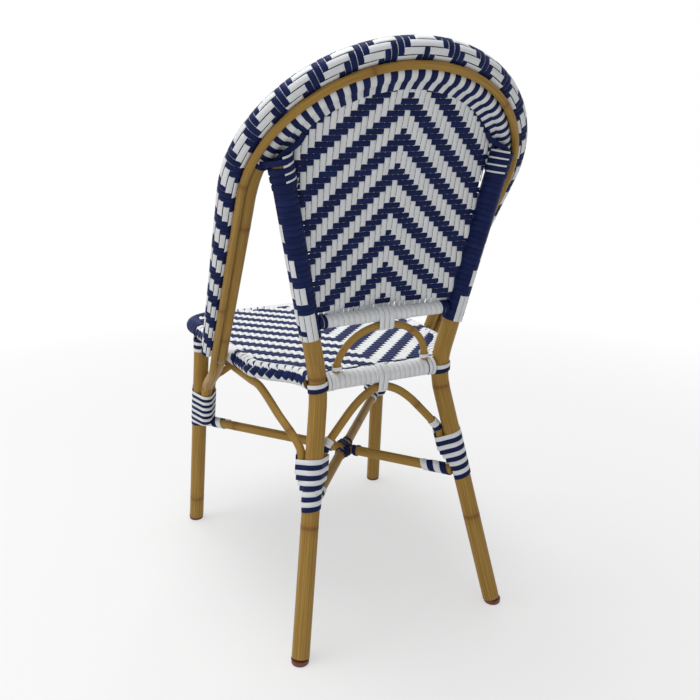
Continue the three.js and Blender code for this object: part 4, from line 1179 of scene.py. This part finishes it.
class BISTRO_OT_seat_panel(WovenPanel, bpy.types.Operator):
    """Weaves the seat in a chevron that points to the rear"""

    bl_idname = "bistro.seat_panel"
    bl_label = "Seat panel"

    edge_overlap, front_overlap = 0.009, 0.005

    def chevron_row(self, row):
        return row

    def build(self, chair):
        s = chair.strand
        low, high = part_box("seat_weave")
        level = high.z - s.panel_thickness / 2 - s.panel_lift
        rear_y, front_y = high.y - chair.shift, low.y - chair.shift - self.front_overlap
        rows = int((rear_y - front_y) / s.seat_row)
        rim = chair.seat_line(chair.seat_skin - self.edge_overlap)
        half = rim[: len(rim) // 2]
        half = half[np.argsort(half[:, 1])]
        places = np.arange(-1, rows, 1 / self.points_per_strand)
        y = rear_y - (places + 0.5) * s.seat_row

        def flat(x, y, keep):
            points = np.stack([*np.broadcast_arrays(x, y, level)], 1)
            return points, np.broadcast_to(Z, points.shape), keep

        def along(x):
            return flat(x, y, (np.abs(x) < np.interp(y, half[:, 1], half[:, 0])) & (y < rear_y) & (y > front_y))

        def across(row):
            row_y = rear_y - (row + 0.5) * s.seat_row
            reach = float(np.interp(row_y, half[:, 1], half[:, 0]))
            return flat(np.arange(-reach, reach, s.column / self.points_per_strand), row_y, slice(None))

        self.weave_panel(chair, "seat_weave", along, places, across, rows, s.seat_row)


class BISTRO_OT_seat_edge(ChairPiece, bpy.types.Operator):
    """Weaves the leaves round the seat's edge and adds the tube inside"""

    bl_idname = "bistro.seat_edge"
    bl_label = "Seat edge"

    leaves = (("navy", 1, -0.75), ("white", -1, 0.9))
    over_middle, over_half, over_blend = math.radians(78), math.radians(28), 0.2
    turn_back, line_ends = 0.08, (0.002, 0.998)
    corner_raise, corner_overlap = 0.0015, 1.36
    cap_parts = (("white", -0.008, 3, 0.0088), ("navy", -0.032, 1, 0.0078))
    cap_sink = 0.0006

    def build(self, chair):
        s, t = chair.strand, chair.tube
        line = chair.seat_line()
        core = Rails(chair)
        core.add(line, Z, radius=t.seat / 2 + t.gap)
        tubes("seat_frame_tube", core, "bamboo", ["seat_frame"], sides=24)
        first, second = axes_along(line, Z)
        run = distances(line)[-1]
        number = int(run / s.leaf)
        radius = chair.seat_skin - s.thickness - s.lift
        share = np.linspace(0, 1, len(line))
        turned = full_turn(48)
        away = np.abs((turned - self.over_middle + math.pi) % (2 * math.pi) - math.pi)
        zone = smooth_share((self.over_half - away) / self.over_blend + 0.5)
        corner = np.argmax(line[:, 0] - line[:, 1]) / len(line) - s.corner_shift / run
        for tone, sign, slant in self.leaves:
            rails = Rails(chair)
            reach = radius + sign * (2 * zone - 1) * s.lift
            for index in range(number):
                middle = (index + 0.5) / number
                if min(abs(middle - corner), abs(middle - 1 + corner)) < s.corner_cover / 2 / run:
                    continue
                side = 2 * smooth_share((0.5 - middle) / self.turn_back + 0.5) - 1
                where = np.clip(middle + side * slant * np.cos(turned) / number, *self.line_ends)
                add_turn(rails, where, share, (line, first, -second), turned, reach)
            strands(f"seat_edge_{tone}", rails, tone, s.leaf_width, s.thickness, ["seat_edge_weave"])
        self.caps(chair, line)
        self.corners(chair, line, {"left": corner * run, "right": (1 - corner) * run})

    def corners(self, chair, line, middles):
        """The smooth blue strands wound round the seat's front corners, closed up by being wider than their pitch."""
        s = chair.strand
        turns = round(s.corner_cover / s.corner_row) + 1
        steps = (np.arange(turns) - (turns - 1) / 2) * s.corner_row
        for word, middle in middles.items():
            rings(chair, f"seat_corner_{word}", line + self.corner_raise * Z, Z, middle + steps,
                  chair.seat_skin - self.corner_raise, s.corner_row * self.corner_overlap, "navy")

    def caps(self, chair, line):
        """The white wrap over the seat's edge beside the hoop, with one blue turn behind it."""
        spot = chair.inner_tube_at(chair.seat_axis)
        place = int(np.argmin(np.abs(line[: len(line) // 2, 1] - spot[1])))
        axis = unit(line[place + 1] - line[place - 1])
        skin = round_bundle(chair.seat_skin - self.cap_sink)
        for word, side in SIDES:
            for tone, along, turns, width in self.cap_parts:
                centre = chair.mirrored(line[place] + axis * along, side)
                lashing(chair, f"seat_cap_{word}_{tone}", centre, chair.mirrored(axis, side), Z, skin, turns, width,
                        [tone], thickness=chair.strand.thickness)


class BISTRO_OT_posts(ChairPiece, bpy.types.Operator):
    """Weaves the covers of the posts and the lashings at their heads"""

    bl_idname = "bistro.posts"
    bl_label = "Post covers"

    angles = np.radians([8, 40, 71, 101])
    brick_period, brick, hem = 5, 3, np.array([1, 1, 2, 2])
    first_rows, last_rows = np.array([3, 2, 2, 2]), np.array([22, 15, 10, 5])
    rows_past_last = 2
    dent, dent_blend = math.radians(20), math.radians(8)
    head_room, line_step = 0.002, 0.0029
    lashed, lashing_turns, lashing_slit = 0.030, 4, 0.0022
    hoop_joins, hoop_join_speed = 2.5, 3
    fleck_side, fleck_least, fleck_width = vec(-0.8, 0.6, 0), 0.35, 0.0034
    diagonal_hoop = ((0.6, 0.012, -0.006), (0.25, 0.016, 0.006))
    diagonal_rise = 0.004
    diagonal_panel = ((0.153, 0.026, 0.006), (0.147, 0.036, 0.004))

    def over(self, column, row):
        """The white strands show as bricks of three rows in five, in fewer rows from column to column."""
        column, row = np.broadcast_arrays(column, row)
        low = self.first_rows[column]
        brick = ((row - low) % self.brick_period < self.brick) & (row >= low) & (row < self.last_rows[column])
        return np.where(brick | (row < self.hem[column]), 1.0, -1.0)

    def build(self, chair):
        t, s = chair.tube, chair.strand
        radius = t.leg / 2 + t.gap + s.thickness / 2 + s.lift
        ends = [chair.post_at(chair.stance.post_weave_start), chair.post_at(chair.hoop.junction - self.head_room)]
        turned = full_turn(48)
        near = np.abs((turned - self.angles[:, None] + math.pi) % (2 * math.pi) - math.pi)
        nearest, away = np.argmin(near, axis=0), np.min(near, axis=0)
        dent = smooth_share((self.dent - away) / self.dent_blend)
        for word, side in SIDES:
            line = chair.mirrored(resample(ends, self.line_step), side)
            first, second = axes_along(line, side * X)
            second = second * side
            run = distances(line)[-1]
            place = np.linspace(-0.5, run / s.post_row - 0.5, len(line))
            white, navy = Rails(chair), Rails(chair)
            for column, angle in enumerate(self.angles):
                aim = first * math.cos(angle) + second * math.sin(angle)
                height = over_and_under(self.over, column, place) * s.lift
                keep = place < self.last_rows[column] + self.rows_past_last
                white.add((line + aim * (radius + height)[:, None])[keep], aim[keep])
            for row in range(int(run / s.post_row)):
                reach = radius - dent * self.over(nearest, row) * s.lift
                add_turn(navy, row, place, (line, first, second), turned, reach)
            node = f"post_weave_{word}"
            weave(node, (white, s.column - s.slit), (navy, s.post_row - s.fine_slit), s.thickness, node)
            self.junction(chair, word, side, radius + s.lift)

    def junction(self, chair, word, side, cover):
        """Blue turns round the post's head and the hoop, with white strands in the gaps beside the panel."""
        t, s, base = chair.tube, chair.strand, chair.hoop.junction - self.lashed
        axis = chair.mirrored(unit(chair.post_head - chair.kink), side)
        first = unit(X - axis * axis[0])
        second = np.cross(axis, first)

        def circles(height):
            away = chair.mirrored(chair.inner_tube_at(base + height) - chair.post_at(base + height), side)
            reach = smooth_share(height / self.lashed * self.hoop_join_speed - self.hoop_joins)
            spot = (float(away @ first) * reach, float(away @ second) * reach)
            return [((0.0, 0.0), cover + s.wound_thickness / 2),
                    (spot, (t.hoop_inner / 2 + s.wound_thickness) * mix(0.5, 1, reach))]

        def wound(phase):
            start = chair.mirrored(chair.post_at(base), side)
            return helix(start, axis, X, circles, self.lashing_turns, lead, phase, steps=40)

        lead = s.lashing + self.lashing_slit
        navy, white, tie = Rails(chair), Rails(chair), Rails(chair)
        navy.add(*wound(0))
        node = f"junction_lashing_{word}"
        strands(f"{node}_strand", navy, "navy", s.lashing, s.wound_thickness, [node])
        points, facing = wound(lead / 2)
        keep = facing @ chair.mirrored(self.fleck_side, side) > self.fleck_least
        breaks = np.flatnonzero(np.diff(keep.astype(int))) + 1
        for part in np.split(np.arange(len(points)), breaks):
            if keep[part[0]]:
                white.add(points[part], facing[part])
        strands(f"junction_flecks_{word}", white, "white", self.fleck_width, s.thickness)
        tie.add(chair.mirrored(self.diagonal(chair), side), Y)
        strands(f"junction_diagonal_{word}", tie, "navy", s.lashing, s.wound_thickness)

    def diagonal(self, chair):
        """The strand that runs from the post's head over the ends of the stripes to the panel's corner."""
        top, head = chair.hoop.junction, chair.post_head
        tube = chair.inner_tube_at(top + self.diagonal_rise)
        line = [mix(head, tube, share) + vec(0, out, rise) for share, out, rise in self.diagonal_hoop]
        for x, rise, out in self.diagonal_panel:
            line.append(chair.panel_points(np.array([x]), np.array([top + rise]))[0][0] + out * Y)
        return rounded(line, 8)


class BISTRO_OT_rails(ChairPiece, bpy.types.Operator):
    """Adds the back rail and the seat's rear rail with their windings"""

    bl_idname = "bistro.rails"
    bl_label = "Wound rails"

    wound_room = 0.008
    back_turns, seat_turns = 24, 19

    def build(self, chair):
        t, s = chair.tube, chair.stance
        rear, knee = chair.post_at(s.back_rail_height), chair.knee_at(chair.seat_axis)
        wound = knee[0] - t.leg / 2 - self.wound_room
        self.rail(chair, "back_rail", rear, RIM_ROOM, s.back_rail_half_wound, t.back_rail, self.back_turns, "navy")
        self.rail(chair, "seat_rear_rail", knee, 0, wound, t.seat, self.seat_turns, "white")

    def rail(self, chair, node, place, room, wound, diameter, turns, tone):
        """A rail between the rear legs, which place lies on, with its long winding and two turns at each end."""
        thickness, ring = chair.strand.wound_thickness, chair.strand.tie
        half = place[0] - chair.tube.leg / 2 - room
        centre = place * [0, 1, 1]
        bamboo_tube(chair, node, resample([centre - half * X, centre + half * X]), diameter, Z)
        lead = 2 * wound / (turns + 1)
        bundle = round_bundle(diameter / 2 + chair.tube.gap + thickness / 2)
        rails = Rails(chair)
        rails.add(*helix(centre - wound * X, X, Z, bundle, turns, lead, lead / 2))
        strands(f"{node}_winding", rails, "white", lead - chair.strand.slit / 2, thickness, [f"{node}_wrap"])
        skin = round_bundle((diameter + thickness) / 2)
        for word, side in SIDES:
            lashing(chair, f"{node}_end_{word}", centre + side * (half - ring) * X, X, Z, skin, 2, ring, [tone])


class BISTRO_OT_back_arch(ChairPiece, bpy.types.Operator):
    """Adds the small arch under the back rail, its ties and the lashings of the rails' middles"""

    bl_idname = "bistro.back_arch"
    bl_label = "Back arch"

    tie_shift, tie_slack, tie_thickness = vec(-0.001, 0.001, 0.008), 0.0008, 0.0016
    arch_slack = 0.0012

    def build(self, chair):
        t, s, wound = chair.tube, chair.stance, chair.strand.wound_thickness
        knee, rear = chair.knee_at(chair.seat_axis), chair.post_at(s.back_rail_height)
        foot = chair.seat_axis + t.seat / 2 + wound + 2 * t.gap
        apex = s.back_rail_height - t.back_rail / 2 - wound - t.back_arch / 2 - 2 * t.gap
        angle = np.linspace(0, math.pi, 60)
        line = np.stack([s.back_arch_half_width * np.cos(angle), mix(knee[1], rear[1], np.sin(angle)),
                         mix(foot, apex, np.sin(angle))], 1)
        bamboo_tube(chair, "back_arch", line, t.back_arch, Y, 0.8)
        spot = vec(s.back_arch_half_width, knee[1], foot) + self.tie_shift
        skin = round_bundle(t.back_arch / 2 + self.tie_slack)
        for word, side in SIDES:
            node = f"back_arch_tie_{word}"
            lashing(chair, f"{node}_strand", chair.mirrored(spot, side), Z, X, skin, 1, chair.strand.tie, ["white"],
                    [node], self.tie_thickness)
        self.middle(chair, "back_rail", vec(0, rear[1], s.back_rail_height), t.back_rail, t.back_arch, 3)
        self.middle(chair, "seat_rail", vec(0, knee[1], chair.seat_axis), t.seat, t.brace, 2)

    def middle(self, chair, place, centre, rail, arch, turns):
        """The white lashing of a rail's middle and of the arch that meets it from below."""
        gap, reach = chair.tube.gap, rail / 2 + chair.strand.wound_thickness
        circles = [((0.0, 0.0), reach + 2 * gap),
                   ((-(reach + arch / 2 + gap), 0.0), arch / 2 + self.arch_slack)]
        lashing(chair, f"{place}_centre_lashing_strand", centre, X, Z, lambda height: circles, turns,
                chair.strand.lashing, ["white"], [f"{place}_centre_lashing"])


class BISTRO_OT_braces(ChairPiece, bpy.types.Operator):
    """Adds the arched braces between the legs and under the seat's sides"""

    bl_idname = "bistro.braces"
    bl_label = "Arched braces"

    arch_shares = ((0, 0), (0.15, 0.22), (0.32, 0.45), (0.5, 0.68), (0.7, 0.87), (0.88, 0.97))
    side_shares = ((0, 0), (0.45, 0.55), (0.82, 0.95))
    ties = (("navy", (0.031, 0.0355)), ("white", (0.040, 0.0445, 0.049)))
    tie_width = 0.0044

    def build(self, chair):
        t, s, spots = chair.tube, chair.stance, chair.brace_spots()
        below = t.seat / 2 + chair.strand.wound_thickness + t.brace / 2 + 2 * t.gap
        crest = vec(0, chair.knee_at(chair.seat_axis)[1], chair.seat_axis - below)
        self.across(chair, "rear_arch", chair.rear_leg_at, spots["rear_arch"], crest)
        crest = vec(0, -s.front_top_reach, s.front_arch_apex)
        self.across(chair, "front_arch", chair.front_leg_at, spots["front_arch"], crest)
        height = chair.seat_axis - chair.seat_skin - t.brace / 2 - 2 * s.brace_slack
        crests = [vec(chair.seat_side_x(y), y, height) for y in (s.side_arch_reach, -s.side_arch_reach)]
        rear = chair.half_arch(chair.rear_leg_at, spots["side_rear"], crests[0], self.side_shares)
        front = chair.half_arch(chair.front_leg_at, spots["side_front"], crests[1], self.side_shares)
        line = rounded([*rear, *crests, *front[::-1]])
        for (word, side), knot in zip(SIDES, (0.2, 0.5)):
            bamboo_tube(chair, f"side_arch_{word}", chair.mirrored(line, side), t.brace, X, knot)

    def across(self, chair, node, leg_at, spot, crest):
        """An arch from leg to leg, with the ties near its ends."""
        half = chair.half_arch(leg_at, spot, crest, self.arch_shares)
        line = resample(rounded([*half, crest, *(chair.mirrored(point, -1) for point in half[::-1])]))
        bamboo_tube(chair, node, line, chair.tube.brace, Y, 0.45)
        reach = (chair.tube.brace + chair.strand.thickness) / 2 + chair.tube.gap
        for word, side in SIDES:
            for tone, places in self.ties:
                rings(chair, f"{node}_tie_{word}_{tone}", chair.mirrored(line, side), Y, places, reach,
                      self.tie_width, tone)


class BISTRO_OT_stretchers(ChairPiece, bpy.types.Operator):
    """Adds the crossed stretchers with their lashings"""

    bl_idname = "bistro.stretchers"
    bl_label = "Crossed stretchers"

    leg_room = 0.002
    end_place, end_width, cross_place, cross_width, wall = 0.0245, 0.0112, 0.026, 0.0068, 0.0014

    def build(self, chair):
        t, s, strand = chair.tube, chair.stance, chair.strand
        front, rear = chair.front_leg_at(s.stretcher_height), chair.rear_leg_at(s.stretcher_height)
        middle = vec(0, mix(front[1], rear[1], front[0] / (front[0] + rear[0])), s.stretcher_height)
        other = chair.mirrored(rear, -1)
        through = unit(other - front)
        reach = t.leg / 2 + self.leg_room
        ends = {"front_left": front + through * reach, "rear_right": other - through * reach}
        ends["front_right"] = chair.mirrored(ends["front_left"], -1)
        ends["rear_left"] = chair.mirrored(ends["rear_right"], -1)
        radius = t.stretcher / 2
        sine = abs(2 * through[0] * through[1])
        meeting = (radius + t.gap) / sine + radius * abs(through[1] ** 2 - through[0] ** 2) / sine
        away = chair.mirrored(through, -1) * meeting
        bars = (
            ("through", ends["front_left"], ends["rear_right"], 0.2),
            ("half_front", ends["front_right"], middle - away, 0.7),
            ("half_rear", middle + away, ends["rear_left"], 0.4),
        )
        for word, start, end, knot in bars:
            bamboo_tube(chair, f"stretcher_{word}", resample([start, end]), t.stretcher, Z, knot)
        slope = abs(through[1] / through[0])
        spread = radius * (math.hypot(1, slope) - 1) + strand.tie * slope / 2

        def crossing(height):
            return [((0.0, sign * (abs(height) * slope + spread)), radius) for sign in (-1, 1)]

        lashing(chair, "stretcher_centre_lashing_strand", middle, X, Z, crossing, 2, strand.tie, ["navy"],
                ["stretcher_centre_lashing"])
        skin = round_bundle(radius)
        for word, end in ends.items():
            axis = unit(middle - end)
            node = f"stretcher_end_wrap_{word}"
            lashing(chair, f"{node}_strand", end + axis * self.end_place, axis, Z, skin, 2, self.end_width,
                    ["navy", "white"], [node], self.wall)
            lashing(chair, f"stretcher_cross_tie_{word}", middle - axis * self.cross_place, axis, Z, skin, 1,
                    self.cross_width, ["navy"], thickness=self.wall)


class BISTRO_OT_joints(ChairPiece, bpy.types.Operator):
    """Winds the blue and white strands round the leg joints"""

    bl_idname = "bistro.joints"
    bl_label = "Leg joints"

    front_flare = 0.016

    def build(self, chair):
        t, s, strand, spots = chair.tube, chair.stance, chair.strand, chair.brace_spots()
        ends = (
            ("rear", chair.rear_leg_at, s.rear_wrap_top, ("rear_arch", "side_rear"),
             strand.rear_joint_stripe, s.brace_end_height - s.wrap_bottom),
            ("front", chair.front_leg_at, s.front_wrap_top, ("hoop", "side_front", "front_arch"),
             strand.front_joint_stripe, self.front_flare),
        )
        for word, side in SIDES:
            for end, leg_at, top, held, stripe, flare in ends:
                bundle = [(spots[name], (t.hoop_inner if name == "hoop" else t.brace) / 2) for name in held]
                start, stop = chair.mirrored(leg_at(s.wrap_bottom), side), chair.mirrored(leg_at(top), side)
                self.joint(chair, f"{end}_joint_wrap_{word}", start, stop, bundle, side, stripe, flare)

    def joint(self, chair, node, start, stop, bundle, side, stripe, flare):
        """Stripes round a leg, which take in the tubes beside it more and more over the flare's height."""
        strand, total = chair.strand, np.linalg.norm(stop - start)
        wall = strand.joint_thickness / 2 + chair.tube.gap
        turns = int(total / stripe / 2)
        pitch = total / (2 * turns + 1)

        def circles(height):
            share = min(max(height / flare, 0.0), 1.0)
            beside = [((spot[0] * side * share, spot[1] * share), radius * mix(0.5, 1, share) + wall)
                      for spot, radius in bundle]
            return [((0.0, 0.0), chair.tube.leg / 2 + wall), *beside]

        for index, tone in enumerate(("navy", "white")):
            rails = Rails(chair)
            rails.add(*helix(start, stop - start, X, circles, turns, 2 * pitch, (index + 0.5) * pitch,
                             steps=40))
            strands(f"{node}_{tone}_strand", rails, tone, pitch - strand.fine_slit, strand.joint_thickness,
                    [f"{node}_{tone}"])


class BISTRO_OT_leg_lashings(ChairPiece, bpy.types.Operator):
    """Adds the lashings of the legs at the seat"""

    bl_idname = "bistro.leg_lashings"
    bl_label = "Leg lashings"

    seat_width, seat_slack = 0.0068, 1.03
    top_width, top_thickness, top_drop = 0.0064, 0.0014, 0.0025

    def build(self, chair):
        t, top = chair.tube, chair.front_top
        knee = chair.knee_at(chair.seat_axis)
        skin = round_bundle(t.leg / 2)
        for word, side in SIDES:
            def bend(height, side=side):
                spot = chair.knee_at(chair.seat_axis + height) - knee
                return [((spot[0] * side, spot[1]), t.leg / 2 * self.seat_slack)]

            lashing(chair, f"seat_lashing_{word}_strand", chair.mirrored(knee, side), Z, X, bend, 1,
                    self.seat_width, ["navy", "white"], [f"seat_lashing_{word}"])
            axis = chair.mirrored(unit(top - chair.front_foot), side)
            centre = chair.mirrored(chair.front_leg_at(top[2] - self.top_drop), side)
            lashing(chair, f"leg_top_wrap_{word}_strand", centre, axis, X, skin, 2, self.top_width,
                    ["white", "navy"], [f"leg_top_wrap_{word}"], self.top_thickness)


class BISTRO_OT_fixings(ChairPiece, bpy.types.Operator):
    """Adds the spacers and the screws that hold the hoop to the seat's sides"""

    bl_idname = "bistro.fixings"
    bl_label = "Spacers and screws"

    spacer_profile = ((0, 0.86), (0.1, 0.96), (0.3, 1), (0.7, 1), (0.9, 0.96), (1, 0.86))
    screw_profile = ((0.0, 0.9), (0.25, 1.0), (0.6, 0.92), (0.85, 0.66), (1.0, 0.4), (0.8, 0.36), (0.7, 0.2))
    screw_radius, screw_rise, screw_turn = 0.0045, 0.0014, math.radians(20)

    def build(self, chair):
        t = chair.tube
        spot = chair.inner_tube_at(chair.seat_axis)
        inner = chair.seat_side_x(spot[1]) + chair.seat_skin
        place, wide = np.array(self.spacer_profile).T
        line = spot * [0, 1, 1] + mix(inner, spot[0] - t.hoop_inner / 2, place)[:, None] * X
        rise, head = np.array(self.screw_profile).T
        aim = unit(chair.forward * math.cos(self.screw_turn) - math.sin(self.screw_turn) * X)
        screw = spot - aim * (t.hoop_inner / 2 + t.gap + self.screw_rise * rise)[:, None]
        for word, side in SIDES:
            ring, top = Rails(chair), Rails(chair)
            ring.add(chair.mirrored(line, side), Z, radius=wide * t.brace / 2)
            tubes(f"hoop_spacer_{word}_ring", ring, "white_strand", [f"hoop_spacer_{word}"])
            top.add(chair.mirrored(screw, side), X, radius=head * self.screw_radius)
            tubes(f"hoop_screw_{word}_head", top, "steel", [f"hoop_screw_{word}"], sides=24)


class BISTRO_OT_stage(ChairPiece, bpy.types.Operator):
    """Adds the floor, the soft studio light and the camera at the photograph's angle"""

    bl_idname = "bistro.stage"
    bl_label = "Stage"

    camera_place = (0.5461, 1.1975, 0.8277)
    camera_turn = np.radians([71.52, 0.24, 154.84])
    camera_shift = (0.0146, 0.0244)
    focal_pixels, image_pixels, sensor = 750.0, 700.0, 36.0
    lamps = {
        "key": ((0.3, -0.2, 2.7), (0, 0, 0.45), 1.6, 42),
        "fill": ((1.6, 2.2, 1.3), (0, 0, 0.4), 2.0, 8),
        "side": ((2.4, -0.6, 1.4), (0, 0, 0.45), 1.8, 12),
    }
    floor_half, fade_start, fade_speed = 6.0, 0.5, 0.7
    lit_world, white_world = 0.38, 0.62

    def build(self, chair):
        self.floor()
        self.world()
        for name, setting in self.lamps.items():
            self.lamp(name, *setting)
        self.camera(chair)

    def floor(self):
        """A floor that fades into white away from the chair, as the camera and reflections see it."""
        mesh = bpy.data.meshes.new("floor")
        corners = [(x * self.floor_half, y * self.floor_half, 0) for x, y in ((-1, -1), (1, -1), (1, 1), (-1, 1))]
        mesh.from_pydata(corners, [], [(0, 1, 2, 3)])
        floor = add_object("floor", mesh)
        shader = Shader(bpy.data.materials.new("floor"))
        shader.set(Base_Color=(*bpy.context.scene.bistro_colours.floor, 1), Roughness=0.9)
        glow = shader.node("ShaderNodeEmission", None, {"Color": (1, 1, 1, 1), "Strength": 1.0})
        place = shader.node("ShaderNodeTexCoord", output="Object")
        away = shader.node("ShaderNodeVectorMath", {"operation": "LENGTH"}, [place], output="Value")
        fade = ((away - self.fade_start) * self.fade_speed).clamp()
        share = self.seen_directly(shader) * (fade * 0.5 + 0.5)
        mixed = shader.node("ShaderNodeMixShader", None, [share, Value(shader, shader.surface.outputs[0]), glow])
        shader.put(shader.tree.nodes["Material Output"].inputs["Surface"], mixed)
        mesh.materials.append(shader.holder)

    def seen_directly(self, shader):
        path = shader.node("ShaderNodeLightPath").socket.node.outputs
        rays = [Value(shader, path[name]) for name in ("Is Camera Ray", "Is Glossy Ray", "Is Transmission Ray")]
        return (rays[0] + rays[1] + rays[2]).clamp()

    def world(self):
        """A background that is white where the camera or a reflection sees it, and dimmer as a light."""
        world = bpy.data.worlds.new("studio")
        bpy.context.scene.world = world
        shader = Shader(world)
        inputs = shader.tree.nodes["Background"].inputs
        inputs["Color"].default_value = (1, 1, 1, 1)
        shader.put(inputs["Strength"], self.seen_directly(shader) * self.white_world + self.lit_world)

    def lamp(self, name, place, aim, size, power):
        light = bpy.data.lights.new(name, "AREA")
        light.size, light.energy = size, power
        lamp = add_object(name, light)
        lamp.location = place
        lamp.rotation_euler = (Vector(aim) - Vector(place)).to_track_quat("-Z", "Y").to_euler()

    def camera(self, chair):
        data = bpy.data.cameras.new("camera")
        data.sensor_width = self.sensor
        data.lens = self.focal_pixels * self.sensor / self.image_pixels
        data.shift_x, data.shift_y = self.camera_shift
        camera = add_object("camera", data)
        x, y, z = self.camera_place
        camera.location = (x, y + chair.shift, z)
        camera.rotation_euler = self.camera_turn
        bpy.context.scene.camera = camera
        bpy.context.scene.view_settings.view_transform = "Standard"


OPERATORS = (
    BISTRO_OT_legs, BISTRO_OT_foot_plugs, BISTRO_OT_hoop, BISTRO_OT_hoop_band, BISTRO_OT_hoop_stripes,
    BISTRO_OT_back_panel, BISTRO_OT_seat_panel, BISTRO_OT_seat_edge, BISTRO_OT_posts, BISTRO_OT_rails,
    BISTRO_OT_back_arch, BISTRO_OT_braces, BISTRO_OT_stretchers, BISTRO_OT_joints, BISTRO_OT_leg_lashings,
    BISTRO_OT_fixings, BISTRO_OT_stage,
)


class BISTRO_PT_panel(bpy.types.Panel):
    """Lists the chair's pieces and sizes"""

    bl_idname = "BISTRO_PT_panel"
    bl_label = "Bistro chair"
    bl_space_type = "VIEW_3D"
    bl_region_type = "UI"
    bl_category = "Bistro chair"

    def draw(self, context):
        for operator in OPERATORS:
            self.layout.operator(operator.bl_idname)
        for key in GROUPS:
            settings, box = getattr(context.scene, key), self.layout.box()
            for name in settings.__annotations__:
                box.prop(settings, name)


CLASSES = (*GROUPS.values(), *OPERATORS, BISTRO_PT_panel)


def register():
    for item in CLASSES:
        bpy.utils.register_class(item)
    for key, group in GROUPS.items():
        setattr(bpy.types.Scene, key, PointerProperty(type=group))


def unregister():
    for key in GROUPS:
        delattr(bpy.types.Scene, key)
    for item in reversed(CLASSES):
        bpy.utils.unregister_class(item)


def main():
    register()
    for operator in OPERATORS:
        name = operator.bl_idname.split(".")[1]
        getattr(bpy.ops.bistro, name)()


if __name__ == "__main__":
    main()
